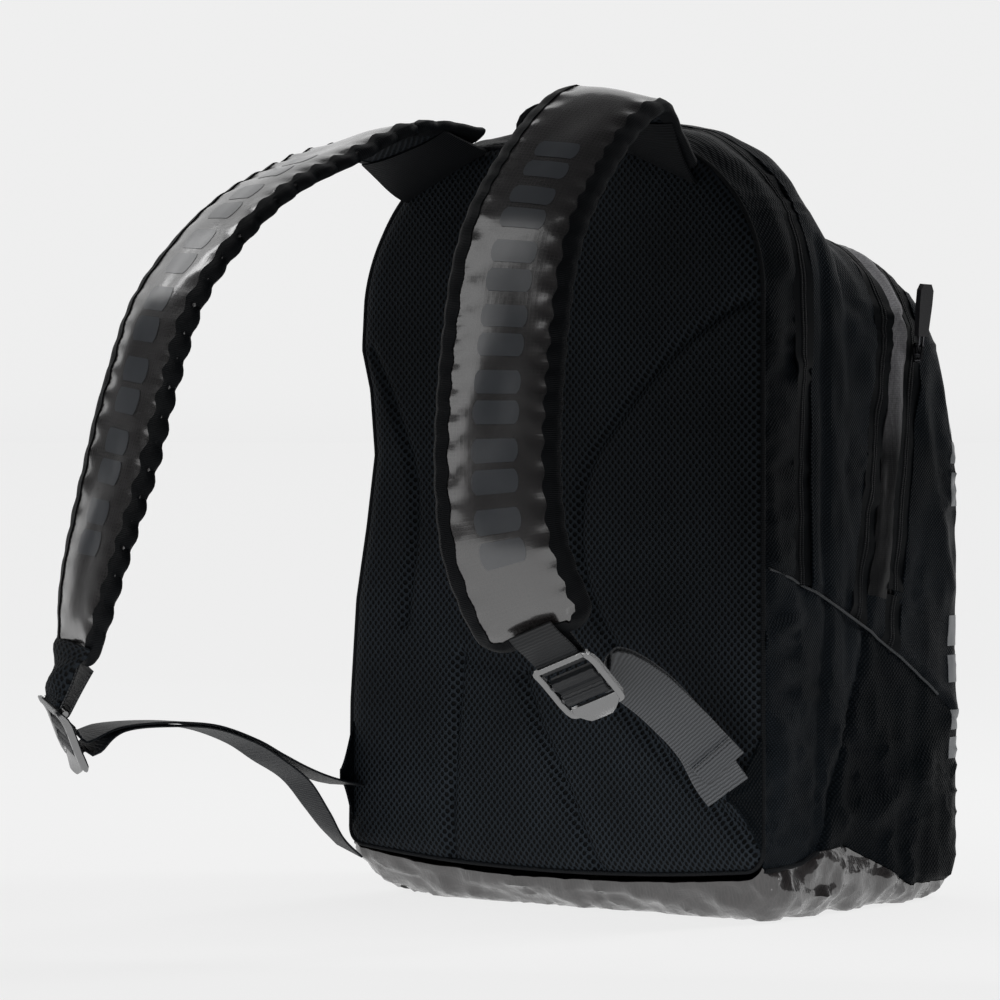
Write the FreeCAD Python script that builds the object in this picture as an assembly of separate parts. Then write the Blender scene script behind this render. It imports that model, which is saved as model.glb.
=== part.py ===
"""Racket backpack: sewn shell, three zipped compartments, padded shoulder straps.

Millimetres. +Z is up, +Y runs from the wearer's back towards the bag's front, and +X is to the
right of someone looking at the back panel. The origin is the centre of the flat base.
"""
import FreeCAD, Part
import math
import os

V = FreeCAD.Vector

# ---- driving dimensions -------------------------------------------------------------------
BACK_Y = -110.0            # outer face of the back panel
HALF_WIDTH = 165.0         # half the width of the bag
CROWN = 494.0              # top of the main compartment
FABRIC = 2.5               # wall of the lined fabric shell
FAR = 260.0                # half the width of a cutting prism, wider than the bag
SKY = 560.0                # a height above everything

MESH = 3.0                 # spacer mesh on the back panel
FOAM = 8.0                 # back panel foam
SHEET = 1.5                # stiff frame sheet behind the foam

COIL_GAP = 0.4             # between the two halves of a zip's coil
COIL = 2.2                 # width of one half of a coil
COIL_PROUD = 1.3           # coil standing out of the fabric
TAPE = 7.0                 # zip tape showing each side of the coil

MAIN_ZIP_Y = -66.0         # upright plane of the main zip
MID_ZIP_FOOT = (-2.0, 186.0)     # Y, Z where the middle zip meets the diagonal seam
MID_ZIP_LEAN = 9.9         # degrees forward of upright
FRONT_ZIP_FOOT = (36.7, 177.0)   # Y, Z where the front zip meets the diagonal seam
FRONT_ZIP_LEAN = 8.2

SEAM_BACK_Z = 222.0        # diagonal seam at the back panel
SEAM_FALL = 0.26           # its slope there
SEAM_CURVE = 0.00083       # and how fast it steepens

MAIN_OPEN = 14.0           # degrees the front half tips forward
FLAP_OPEN = 18.0           # degrees the front pocket's flap tips forward
FOLD_SPARE = 1.2           # degrees left between the parts when fully open
SILL = 9.0                 # rim of the front pocket under the flap
EDGE_GAP = 0.4             # between panels on different bodies

STRAP_WIDTH = 74.0
STRAP_FOAM = 9.0
STRAP_SKIN = 1.5           # cover on the outside, mesh on the inside
BINDING = 3.0              # edge binding of the straps
WEBBING = 30.0             # width of the adjuster webbing
WEBBING_T = 1.4
RIGHT_TWIST = (24.0, 24.0)  # degrees a padded part turns outwards, along it and at its end
LEFT_TWIST = (12.0, 26.0)


# ---- small helpers ------------------------------------------------------------------------
def closed_wire(points):
    return Part.makePolygon(list(points) + [points[0]])


def prism(outline):
    """Solid with an outline in the Y-Z plane, running right across the bag."""
    wire = closed_wire([V(-FAR, y, z) for y, z in outline])
    return Part.Face(wire).extrude(V(2 * FAR, 0, 0))


def box(low, high):
    size = V(*high) - V(*low)
    return Part.makeBox(size.x, size.y, size.z, V(*low))


def save(name, shape):
    solids = [s for s in shape.Solids if s.Volume > 1.0]
    result = solids[0] if len(solids) == 1 else Part.makeCompound(solids)
    result.exportStep("parts/" + name + ".step")
    print("%-26s solids %2d  volume %10.0f" % (name, len(solids), result.Volume))


def turned(point, centre, degrees):
    """A (Y, Z) point turned about a centre, upwards for a point in front of it."""
    a = math.radians(degrees)
    dy = point[0] - centre[0]
    dz = point[1] - centre[1]
    y = centre[0] + dy * math.cos(a) - dz * math.sin(a)
    z = centre[1] + dy * math.sin(a) + dz * math.cos(a)
    return (y, z)


def shifted(line, dy, dz):
    return [(y + dy, z + dz) for y, z in line]


# ---- the bag's outer form -----------------------------------------------------------------
# Each station is a tombstone across the bag: Y, bottom, crown, half width, shoulder radius,
# foot radius.
STATIONS = [
    (BACK_Y, 33, 490, 163, 100, 12),
    (-104, 17, 491, 164, 100, 16),
    (-96, 6, 492, HALF_WIDTH, 99, 20),
    (-84, 0, CROWN, HALF_WIDTH, 98, 22),
    (-50, 0, CROWN, HALF_WIDTH, 98, 22),
    (-36, 0, 489, HALF_WIDTH, 97, 22),
    (-25, 0, 477, HALF_WIDTH, 95, 22),
    (-19, 0, 462, 164, 92, 22),
    (-13, 0, 451, 163, 90, 22),
    (10, 0, 446, 163.5, 88, 22),
    (45, 0, 438, 164, 84, 22),
    (80, 0, 428, 164, 80, 22),
    (97, 0, 414, 163.5, 80, 22),
    (108, 0, 392, 162.5, 82, 22),
    (117, 2, 358, 161, 80, 24),
    (125, 8, 312, 158, 78, 26),
    (132, 18, 262, 150, 72, 30),
    (137, 45, 205, 136, 50, 35),
    (140, 80, 160, 112, 30, 30),
]
BACK_LIMIT = -90.0         # stations behind this also move inwards along Y
FRONT_LIMIT = 90.0         # and so do those in front of this


def tombstone(station, inset):
    """Closed outline of one station, moved inwards by inset."""
    y, bottom, crown, half, shoulder, foot = station
    half -= inset
    bottom += inset
    crown -= inset
    shoulder -= inset
    foot = max(foot - inset, 4.0)
    if y < BACK_LIMIT:
        y += inset * 0.8
    if y > FRONT_LIMIT:
        y -= inset * 0.9

    def corner(cx, cz, radius, start):
        a = [math.radians(start + d) for d in (0, 45, 90)]
        p = [V(cx + radius * math.cos(t), y, cz + radius * math.sin(t)) for t in a]
        return p[0], Part.Arc(p[0], p[1], p[2]).toShape(), p[2]

    corners = [
        corner(half - foot, bottom + foot, foot, -90),
        corner(half - shoulder, crown - shoulder, shoulder, 0),
        corner(shoulder - half, crown - shoulder, shoulder, 90),
        corner(foot - half, bottom + foot, foot, 180),
    ]
    edges = []
    for i, (first, arc, last) in enumerate(corners):
        edges.append(arc)
        edges.append(Part.makeLine(last, corners[(i + 1) % 4][0]))
    return Part.Wire(edges)


def form(inset):
    return Part.makeLoft([tombstone(s, inset) for s in STATIONS], True, True)


def seam_height(y):
    d = y - BACK_Y
    return SEAM_BACK_Z - SEAM_FALL * d - SEAM_CURVE * d * d


def lean_line(foot, degrees, offset, top):
    """Two (Y, Z) points on a line parallel to a leaning zip, offset forwards."""
    a = math.radians(degrees)
    y = foot[0] + offset * math.cos(a)
    z = foot[1] - offset * math.sin(a)
    low = (y - z * math.tan(a), 0.0)
    high = (y + (top - z) * math.tan(a), top)
    return low, high


def lean_slab(foot, degrees, first, last):
    """Prism between two offsets of a leaning zip."""
    a_low, a_high = lean_line(foot, degrees, first, SKY)
    b_low, b_high = lean_line(foot, degrees, last, SKY)
    return prism([a_low, b_low, b_high, a_high])


def point_on_zip(foot, degrees, height):
    return foot[0] + (height - foot[1]) * math.tan(math.radians(degrees))


# ---- lines on the side of the bag -----------------------------------------------------------
AHEAD = 190.0              # past the front of the bag
seam_ys = [-66.0, -40.0, -10.0, 20.0, 50.0, 80.0, 110.0, 140.0, AHEAD]
seam = [(y, seam_height(y)) for y in seam_ys]
MAIN_HINGE = (MAIN_ZIP_Y, seam_height(MAIN_ZIP_Y) + 1.0)
half_edge = [turned(p, MAIN_HINGE, MAIN_OPEN + FOLD_SPARE) for p in shifted(seam, 0, 1.0)]


def height_on(line, y):
    for (y0, z0), (y1, z1) in zip(line, line[1:]):
        if y0 <= y <= y1:
            return z0 + (z1 - z0) * (y - y0) / (y1 - y0)
    return line[-1][1]


sill_y = point_on_zip(FRONT_ZIP_FOOT, FRONT_ZIP_LEAN, 205.0)
sill_top = [(y, height_on(half_edge, y) + SILL) for y in (sill_y, 70.0, 110.0, 150.0, AHEAD)]
FLAP_HINGE = (sill_y, sill_top[0][1] + 1.0)
flap_edge = [turned(p, FLAP_HINGE, FLAP_OPEN + FOLD_SPARE) for p in shifted(sill_top, 0, 1.0)]
base_seam = [(-130, 33), (-60, 35), (-14, 38), (21, 28), (60, 16), (100, 11), (AHEAD, 11)]
FRONT_CORNER_Y = 112.0     # seam between the lower side panels and the lower front panel
FLAT_HALF = 140.0          # the flat the bag stands on: half width, rear and front edges
FLAT_REAR = -80.0
FLAT_FRONT = 94.0


# ---- shell panels ---------------------------------------------------------------------------
def make_shell():
    outer = form(0.0)
    inner = form(FABRIC)
    shell = outer.cut(inner)
    proud = form(-COIL_PROUD).cut(form(COIL_PROUD))
    return shell, proud, inner


def make_back_panel():
    """Mesh, foam and stiff sheet, one behind the other, and the piping round them."""
    outline = STATIONS[0]

    def plate(y, thickness, inset):
        wire = tombstone((0.0,) + outline[1:], inset)
        return Part.Face(wire).extrude(V(0, thickness, 0)).translated(V(0, y, 0))

    save("back_panel_mesh", plate(BACK_Y, MESH, 4.0))
    save("back_panel_foam", plate(BACK_Y + MESH, FOAM, 5.0))
    save("frame_sheet", plate(BACK_Y + MESH + FOAM, SHEET, 7.0))
    ring = plate(BACK_Y - 1.0, 4.0, 0.0).cut(plate(BACK_Y - 1.0, 4.0, 4.0))
    save("back_panel_piping", ring)


def make_root_panels(shell, proud, inner):
    rear_line = BACK_Y + MESH
    behind = [(rear_line, seam_height(rear_line)), (-66.0, seam_height(-66.0))]
    upper = prism(behind + [(-66.0, SKY), (rear_line, SKY)])
    coil_back = MAIN_ZIP_Y - COIL_GAP / 2 - COIL
    gusset = prism([(rear_line, 0), (coil_back - TAPE, 0), (coil_back - TAPE, SKY), (rear_line, SKY)])
    tape = prism([(coil_back - TAPE, 0), (coil_back, 0), (coil_back, SKY), (coil_back - TAPE, SKY)])
    coil_front = coil_back + COIL
    coil = prism([(coil_back, 0), (coil_front, 0), (coil_front, SKY), (coil_back, SKY)])
    upper_shell = shell.common(upper)
    save("rear_gusset", upper_shell.common(gusset))
    save("main_zip_tape_rear", upper_shell.common(tape))
    save("main_zip_coil_rear", proud.common(upper).common(coil))

    low_ys = [rear_line] + seam_ys
    low_edge = [(y, seam_height(y)) for y in low_ys]
    floor_edge = [(rear_line, height_on(base_seam, rear_line))] + base_seam[1:]
    band = shell.common(prism(low_edge + floor_edge[::-1]))
    corner = prism([(FRONT_CORNER_Y, -20), (AHEAD, -20), (AHEAD, SKY), (FRONT_CORNER_Y, SKY)])
    save("lower_front_panel", band.common(corner))
    sides = band.cut(corner)
    save("lower_side_left", sides.common(box((-FAR, -150, -20), (0, 150, SKY))))
    save("lower_side_right", sides.common(box((0, -150, -20), (FAR, 150, SKY))))
    base = shell.common(prism([(rear_line, -20), (AHEAD, -20)] + floor_edge[::-1]))
    flat_low = (-FLAT_HALF, FLAT_REAR, 0)
    flat_high = (FLAT_HALF, FLAT_FRONT, FABRIC)
    base = base.cut(box((-FLAT_HALF, FLAT_REAR, -1), flat_high)).fuse(box(flat_low, flat_high))
    save("base_panel", base)
    board = inner.common(box((-150, -80, FABRIC + 0.1), (150, 108, FABRIC + 3.1)))
    save("base_board", board)

    piping_zone = prism([(-100, 32)] + [(y, z + 1.6) for y, z in base_seam[1:]]
                        + [(y, z - 1.6) for y, z in base_seam[:0:-1]] + [(-100, 29)])
    piping = form(-2.0).cut(form(0.0)).common(piping_zone)
    save("base_piping", piping)


def make_folds(shell):
    """Loose fabric that creases as the compartments tip open."""
    lower = shifted(seam, 0, EDGE_GAP) + shifted(half_edge, 0, -EDGE_GAP)[::-1]
    low_fold = shell.common(prism(lower)).common(box((-FAR, -62, 0), (FAR, AHEAD, SKY)))
    save("fold_gusset_lower", low_fold)
    upper = shifted(sill_top, 0, EDGE_GAP) + shifted(flap_edge, 0, -EDGE_GAP)[::-1]
    start = box((-FAR, sill_y + 4, 0), (FAR, AHEAD, SKY))
    save("fold_gusset_upper", shell.common(prism(upper)).common(start))


def make_front_half(shell, proud, inner):
    zone = prism([(MAIN_ZIP_Y, SKY), (MAIN_ZIP_Y, MAIN_HINGE[1] + 0.6)] + half_edge[1:] + [(AHEAD, SKY)])
    zip_ahead = lean_slab(FRONT_ZIP_FOOT, FRONT_ZIP_LEAN, -COIL_GAP / 2, 400)
    rear_part = zone.cut(zip_ahead)
    panels = shell.common(rear_part)
    raised = proud.common(rear_part)

    tape_start = MAIN_ZIP_Y + COIL_GAP / 2
    coil_end = tape_start + COIL
    tape_end = coil_end + TAPE
    save("main_zip_coil_front", raised.common(box((-FAR, tape_start, 0), (FAR, coil_end, SKY))))
    save("main_zip_tape_front", panels.common(box((-FAR, coil_end, 0), (FAR, tape_end, SKY))))

    mid_start = -COIL_GAP / 2 - COIL - TAPE
    step_y = STATIONS[8][0]
    mid_zip_on = lean_slab(MID_ZIP_FOOT, MID_ZIP_LEAN, mid_start, 400)
    ahead_of_step = box((-FAR, step_y, 0), (FAR, 300, SKY))
    save("mid_gusset", panels.common(box((-FAR, tape_end, 0), (FAR, step_y, SKY))).cut(mid_zip_on))
    rear_of_zip = panels.common(ahead_of_step).cut(mid_zip_on)
    save("step_gusset", rear_of_zip)
    rear_tape = panels.common(lean_slab(MID_ZIP_FOOT, MID_ZIP_LEAN, mid_start, mid_start + TAPE))
    coil_zone = lean_slab(MID_ZIP_FOOT, MID_ZIP_LEAN, mid_start + TAPE, COIL_GAP / 2 + COIL)
    save("mid_zip_coil", raised.common(coil_zone))
    front_tape = lean_slab(MID_ZIP_FOOT, MID_ZIP_LEAN, COIL_GAP / 2 + COIL, COIL_GAP / 2 + COIL + TAPE)
    front_rear_tape = lean_slab(FRONT_ZIP_FOOT, FRONT_ZIP_LEAN, mid_start, mid_start + TAPE)
    mid_front_tape = panels.common(front_tape).cut(front_rear_tape)
    save("mid_zip_tapes", Part.makeCompound([rear_tape, mid_front_tape]))
    after_mid = lean_slab(MID_ZIP_FOOT, MID_ZIP_LEAN, COIL_GAP / 2 + COIL + TAPE, 400)
    front_zip_on = lean_slab(FRONT_ZIP_FOOT, FRONT_ZIP_LEAN, mid_start, 400)
    save("front_gusset", panels.common(after_mid).cut(front_zip_on))
    save("front_zip_tape_rear", panels.common(front_rear_tape))
    rear_coil = lean_slab(FRONT_ZIP_FOOT, FRONT_ZIP_LEAN, mid_start + TAPE, -COIL_GAP / 2)
    save("front_zip_coil_rear", raised.common(rear_coil))

    divider = inner.common(zone).common(box((-FAR, step_y + 0.2, 0), (FAR, step_y + 1.7, SKY)))
    save("main_divider", divider)
    front_wall = lean_slab(FRONT_ZIP_FOOT, FRONT_ZIP_LEAN, -COIL_GAP / 2 - 1.7, -COIL_GAP / 2)
    save("front_divider", inner.common(zone).common(front_wall))

    rim_zone = prism(half_edge + sill_top[::-1])
    rim = shell.common(rim_zone).common(zip_ahead)
    floor_line = shifted(sill_top, 0, -2.0) + shifted(sill_top, 0, -3.6)[::-1]
    floor = inner.common(prism(floor_line)).common(zip_ahead)
    save("front_pocket_floor", Part.makeCompound([rim, floor]))


def make_flap(shell, proud):
    ahead = lean_slab(FRONT_ZIP_FOOT, FRONT_ZIP_LEAN, COIL_GAP / 2, 400)
    above = prism([(FLAP_HINGE[0] - 20, FLAP_HINGE[1] + 0.6)] + flap_edge[1:] + [(AHEAD, SKY), (-20, SKY)])
    zone = ahead.common(above)
    coil_zone = lean_slab(FRONT_ZIP_FOOT, FRONT_ZIP_LEAN, COIL_GAP / 2, COIL_GAP / 2 + COIL)
    tape_zone = lean_slab(FRONT_ZIP_FOOT, FRONT_ZIP_LEAN, COIL_GAP / 2 + COIL, COIL_GAP / 2 + COIL + TAPE)
    panels = shell.common(zone)
    save("front_zip_coil_front", proud.common(zone).common(coil_zone))
    save("front_zip_tape_front", panels.common(tape_zone))
    rest = lean_slab(FRONT_ZIP_FOOT, FRONT_ZIP_LEAN, COIL_GAP / 2 + COIL + TAPE, 400)
    save("front_flap", panels.common(rest))


# ---- zip sliders and pulls ------------------------------------------------------------------
def placed(shape, origin, along, up):
    """Moves a shape drawn with X along the zip and Z out of the fabric to its place."""
    x = V(*along).normalize()
    z = V(*up)
    z = (z - x * z.dot(x)).normalize()
    y = z.cross(x)
    m = FreeCAD.Matrix(x.x, y.x, z.x, origin[0], x.y, y.y, z.y, origin[1],
                       x.z, y.z, z.z, origin[2], 0, 0, 0, 1)
    return shape.transformGeometry(m)


SLIDER_LIFT = COIL_PROUD + 0.5     # underside of a slider above the fabric
BRIDGE_TOP = 7.0                   # top of the bridge that holds the pull


def slider_shape():
    """Wedge-shaped plate with a bridge for the pull, pointing along +X."""
    outline = [V(-6, -3.2, 0), V(3, -5, 0), V(6.5, -3.4, 0), V(6.5, 3.4, 0), V(3, 5, 0), V(-6, 3.2, 0)]
    plate = Part.Face(closed_wire(outline)).extrude(V(0, 0, 1.8)).translated(V(0, 0, SLIDER_LIFT))
    bridge = box((-4.5, -1.1, SLIDER_LIFT + 1.7), (5.0, 1.1, BRIDGE_TOP))
    hole = box((-3.2, -2, SLIDER_LIFT + 1.8), (3.7, 2, BRIDGE_TOP - 1.1))
    return plate.fuse(bridge.cut(hole)).removeSplitter()


PULL_SWING = 8.0                   # degrees the large pull hangs to one side
PULL_PIN = (0.2, 0.0, SLIDER_LIFT + 2.9)    # centre of the pull's pivot in the slider's frame


def pull_ring(width, length, rod):
    """Wire loop through the bridge, lying along +X from the pivot."""
    outer = box((-rod, -width / 2, -rod), (length, width / 2, rod))
    inner = box((rod, rod * 2 - width / 2, -rod), (length - 2 * rod, width / 2 - rod * 2, rod))
    return outer.cut(inner)


def moulded_tab(start, length, width, thick):
    """Grip moulded round the loop's far end, wider at its top."""
    narrow = width * 0.38
    outline = [V(start, -narrow, 0), V(start + length * 0.6, -width / 2, 0),
               V(start + length * 0.88, -width / 2, 0), V(start + length, -width * 0.3, 0),
               V(start + length, width * 0.3, 0), V(start + length * 0.88, width / 2, 0),
               V(start + length * 0.6, width / 2, 0), V(start, narrow, 0)]
    return Part.Face(closed_wire(outline)).extrude(V(0, 0, thick)).translated(V(0, 0, -thick / 2))


def make_zip_end(name, origin, along, up, tab_length, tab_width, lift, joined, swing=0.0):
    """One slider with its pull; lift stands the pull clear of the fabric and swing turns it
    sideways on its loop. A small pull's loop and grip are one node, joined."""
    save(name + "_slider", placed(slider_shape(), origin, along, up))
    loop_length = 13.0
    loop = pull_ring(6.0, loop_length, 0.6)
    grip = moulded_tab(loop_length - 2.2, tab_length, tab_width, 3.4)
    cut = box((loop_length - 2.3, -3.1, -0.7), (loop_length + 0.1, 3.1, 0.7))
    grip = grip.cut(cut)
    pin = V(*PULL_PIN)
    pieces = {"_pull_loop": loop, "_pull_grip": grip}
    if joined:
        pieces = {"_pull": Part.makeCompound([loop, grip])}
    for part_name, shape in pieces.items():
        tipped = shape.copy()
        tipped.rotate(V(0, 0, 0), V(0, 1, 0), -lift)
        tipped.rotate(V(0, 0, 0), V(0, 0, 1), swing)
        save(name + part_name, placed(tipped.translated(pin), origin, along, up))


def make_zip_ends():
    main_x = 11.0
    for name, side in (("main_left", -1), ("main_right", 1)):
        make_zip_end(name, (side * main_x, MAIN_ZIP_Y, CROWN), (side, 0, 0), (0, 0, 1),
                     20.0, 8.0, 4.0, True)
    mid_z = 438.7
    mid_y = point_on_zip(MID_ZIP_FOOT, MID_ZIP_LEAN, mid_z)
    a = math.radians(MID_ZIP_LEAN)
    make_zip_end("mid", (-30.0, mid_y, mid_z), (-1, 0, 0), (0, math.sin(a), math.cos(a)),
                 20.0, 8.0, 4.0, True)
    a = math.radians(FRONT_ZIP_LEAN)
    front_z = 357.0
    front_y = point_on_zip(FRONT_ZIP_FOOT, FRONT_ZIP_LEAN, front_z)
    make_zip_end("front", (164.0, front_y, front_z), (0, math.sin(a), math.cos(a)), (1, 0, 0),
                 34.0, 15.0, 6.0, False, PULL_SWING)


# ---- ribbons: straps and webbing ------------------------------------------------------------
def ribbon_frames(points, across, widths):
    """Tangent, across and outward directions at each point of a ribbon's centre line."""
    frames = []
    last = len(points) - 1
    for i, p in enumerate(points):
        before = points[max(i - 1, 0)]
        after = points[min(i + 1, last)]
        t = (V(*after) - V(*before)).normalize()
        w = V(*across[i])
        w = (w - t * w.dot(t)).normalize()
        frames.append((V(*p), t, w, t.cross(w), widths[i]))
    return frames


def ribbon(frames, left, right, low, high):
    """Solid along a ribbon. left and right are functions of the half width, low and high are
    distances out from the centre line."""
    wires = []
    for p, t, w, n, width in frames:
        a = left(width / 2)
        b = right(width / 2)
        corners = [p + w * a + n * low, p + w * b + n * low, p + w * b + n * high, p + w * a + n * high]
        wires.append(closed_wire(corners))
    return Part.makeLoft(wires, True, True)


RIGHT_STRAP = [
    (86, -119, 484), (88, -142, 500), (92, -169, 513), (95, -211, 486), (100, -257, 441),
    (104, -281, 404), (108, -296, 362), (112, -307, 320), (116, -314, 279), (121, -315, 239),
    (126, -308, 212), (130, -298, 192), (132, -290, 181),
]
LEFT_STRAP = [
    (-86, -119, 484), (-87, -145, 491), (-89, -180, 491), (-95, -223, 476), (-105, -268, 455),
    (-114, -304, 426), (-125, -334, 385), (-135, -349, 332), (-144, -356, 286), (-152, -364, 244),
    (-158, -371, 205), (-162, -373, 178), (-164, -372, 163),
]
ROOT_TILT = 20.0           # degrees the strap's sewn root follows the shoulder of the bag
RIGHT_END = (1.0, 1.0, 0.9)      # widths at the last three points, as parts of the full width
LEFT_END = (0.95, 0.8, 0.62)
CLEAR = 0.1                # between a strap and the webbing tab at its end


def strap_across(side, count, twists):
    """Across direction at each point: along the shoulder at the root, then twisted outwards."""
    result = []
    for i in range(count):
        k = min(i / 3.0, 1.0)
        near_end = max(i - (count - 5), 0) / 4.0
        tilt = math.radians(ROOT_TILT * (1 - k))
        twist = math.radians((twists[0] + (twists[1] - twists[0]) * near_end) * k)
        w = (math.cos(tilt) * math.cos(twist), side * math.sin(twist), -side * math.sin(tilt))
        result.append(w)
    return result


def strap_widths(count, end):
    widths = [STRAP_WIDTH] * count
    widths[0] = STRAP_WIDTH * 1.08
    widths[-3:] = [STRAP_WIDTH * part for part in end]
    return widths


def make_strap(name, points, side, twists, end):
    count = len(points)
    frames = ribbon_frames(points, strap_across(side, count, twists), strap_widths(count, end))
    foam = STRAP_FOAM / 2
    skin = foam + STRAP_SKIN

    def left_in(h):
        return BINDING - h

    def right_in(h):
        return h - BINDING

    save(name + "_strap_foam", ribbon(frames, left_in, right_in, -foam, foam))
    save(name + "_strap_cover", ribbon(frames, left_in, right_in, foam, skin))
    save(name + "_strap_lining", ribbon(frames, left_in, right_in, -skin, -foam))
    edge_a = ribbon(frames, lambda h: -h, left_in, -skin, skin)
    edge_b = ribbon(frames, right_in, lambda h: h, -skin, skin)
    save(name + "_strap_binding", Part.makeCompound([edge_a, edge_b]))
    envelope = ribbon(frames, lambda h: -h - CLEAR, lambda h: h + CLEAR, -skin - CLEAR, skin + CLEAR)
    return frames, envelope


# ---- ladder lock and webbing -----------------------------------------------------------------
LOCK_WIDTH = 39.0
LOCK_LENGTH = 37.0
LOCK_THICK = 4.0
BAR = 2.0                  # radius of the lock's round top bar
LOOP_IN = 2.8              # inside radius of the webbing loop round that bar
RIGHT_TAB = 20.0           # from the padded end of the strap to the bar
LEFT_TAB = 31.0


def bar_shape(x, radius, length):
    """Round bar across the lock, x along it."""
    return Part.makeCylinder(radius, length, V(x, -length / 2, 0), V(0, 1, 0))


def lock_shape():
    """Ladder lock in its own frame: X from the top bar down the strap, Y across, Z outwards."""
    side = (LOCK_WIDTH - 32.0) / 2
    rails = []
    for sign in (-1, 1):
        y = sign * (LOCK_WIDTH / 2 - side / 2)
        rail = box((-BAR, y - side / 2, -LOCK_THICK / 2), (LOCK_LENGTH, y + side / 2, LOCK_THICK / 2))
        rails.append(rail)
    shape = rails[0].fuse(rails[1])
    shape = shape.fuse(bar_shape(0, BAR, LOCK_WIDTH - 1))
    shape = shape.fuse(box((12, -LOCK_WIDTH / 2 + 1, -1.6), (16.5, LOCK_WIDTH / 2 - 1, 1.8)))
    shape = shape.fuse(box((23.0, -LOCK_WIDTH / 2 + 1, -1.6), (27.0, LOCK_WIDTH / 2 - 1, 1.8)))
    lip = box((33.0, -LOCK_WIDTH / 2 + 1, -1.6), (LOCK_LENGTH, LOCK_WIDTH / 2 - 1, 1.8))
    shape = shape.fuse(lip)
    thumb = [V(LOCK_LENGTH - 0.5, -13, -1.2), V(LOCK_LENGTH + 5.5, -8, -1.2),
             V(LOCK_LENGTH + 5.5, 8, -1.2), V(LOCK_LENGTH - 0.5, 13, -1.2)]
    shape = shape.fuse(Part.Face(closed_wire(thumb)).extrude(V(0, 0, 2.6)))
    return shape.removeSplitter()


def tab_shape(length):
    """Webbing folded round the top bar, its two layers sewn inside the strap's end."""
    outer = bar_shape(0, LOOP_IN + WEBBING_T, WEBBING)
    inner = bar_shape(0, LOOP_IN, WEBBING + 2)
    tube = outer.cut(inner).common(box((0, -50, -50), (50, 50, 50)))
    layers = []
    for sign in (-1, 1):
        low = min(sign * LOOP_IN, sign * (LOOP_IN + WEBBING_T))
        high = low + WEBBING_T
        layers.append(box((-length + 0.2, -WEBBING / 2, low), (0.0, WEBBING / 2, high)))
    return tube.fuse(layers[0]).fuse(layers[1]).removeSplitter()


def wrap_shape():
    """Short length of webbing threaded over the lock's lower bars."""
    over = box((10.5, -WEBBING / 2, 2.0), (30.0, WEBBING / 2, 2.0 + WEBBING_T))
    down = box((10.5, -WEBBING / 2, -2.0 - WEBBING_T), (11.7, WEBBING / 2, 2.0))
    under = box((10.5, -WEBBING / 2, -2.0 - WEBBING_T), (22.0, WEBBING / 2, -2.0))
    return over.fuse(down).fuse(under).removeSplitter()


def make_lock(name, strap, tab_direction, tab_length, direction):
    """Tab, lock and the webbing in it at the end of a strap. The tab and the lock share the bar
    but may lie at different angles round it."""
    frames, envelope = strap
    p, t, w, n, width = frames[-1]
    tab_along = V(*tab_direction).normalize()
    bar = p + tab_along * (tab_length + 0.3)
    along = V(*direction).normalize()
    across = (w - tab_along * w.dot(tab_along)).normalize()
    along = (along - across * along.dot(across)).normalize()

    def outward(x):
        out = across.cross(x)
        return out if out.dot(n) > 0 else out * -1.0

    def put(shape, x):
        z = outward(x)
        y = z.cross(x)
        m = FreeCAD.Matrix(x.x, y.x, z.x, bar.x, x.y, y.y, z.y, bar.y,
                           x.z, y.z, z.z, bar.z, 0, 0, 0, 1)
        return shape.transformGeometry(m)

    save(name + "_strap_tab", put(tab_shape(tab_length), tab_along).cut(envelope))
    save(name + "_ladder_lock", put(lock_shape(), along))
    save(name + "_webbing_wrap", put(wrap_shape(), along))
    return bar, along, outward(along).cross(along), outward(along)


def webbing(points, across):
    frames = ribbon_frames(points, across, [WEBBING] * len(points))
    return ribbon(frames, lambda h: -h, lambda h: h, -WEBBING_T / 2, WEBBING_T / 2)


# Where each webbing starts behind its lock: distance down the lock and behind its plane.
RIGHT_LOAD_START = (24.0, 8.5)
LEFT_LOAD_START = (25.5, 9.0)
RIGHT_TAIL_START = (33.0, 10.0)
LEFT_TAIL_START = (35.0, 9.0)

# Hand-set routes from the lock to the bag's bottom corner, and of the free tail.
RIGHT_LOAD = [(135.5, -230.4, 163), (142.8, -203, 149.5), (149.8, -180.5, 130), (155, -164.6, 113.5),
              (157, -151, 91)]
RIGHT_LOAD_ACROSS = [(0.75, 0.4, 0.5), (0.65, 0.51, 0.55), (0.65, 0.51, 0.55), (0.65, 0.51, 0.55),
                     (0.65, 0.51, 0.55)]
RIGHT_TAIL = [(139, -233, 160), (146, -206, 147), (153, -183, 128), (158, -166, 112)]
RIGHT_TAIL_ACROSS = [(0.75, 0.4, 0.5), (0.65, 0.51, 0.55), (0.65, 0.51, 0.55), (0.65, 0.51, 0.55)]
LEFT_LOAD = [(-168, -341, 122), (-168, -300, 122.5), (-167, -259, 119), (-166, -222, 108.5),
             (-165, -196, 97.5), (-163, -168, 86), (-161, -149, 80)]
LEFT_LOAD_ACROSS = [(0.95, 0.1, 0.05), (0.95, 0.1, 0.1), (0.95, 0.1, 0.15), (0.95, 0.1, 0.2),
                    (0.95, 0.1, 0.2), (0.95, 0.1, 0.25), (0.95, 0.1, 0.3)]
LEFT_TAIL = [(-168, -341, 117.5), (-168, -300, 118), (-167, -259, 114.5), (-165.5, -222, 104),
             (-164.5, -196, 91.5), (-162.5, -166, 70), (-160, -146, 52), (-158, -129, 38)]
LEFT_TAIL_ACROSS = [(0.95, 0.1, 0.05), (0.95, 0.1, 0.1), (0.95, 0.1, 0.15), (0.95, 0.1, 0.2),
                    (0.95, 0.1, 0.25), (0.92, 0.1, 0.35), (0.9, 0.1, 0.45), (0.85, 0.1, 0.55)]


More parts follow.
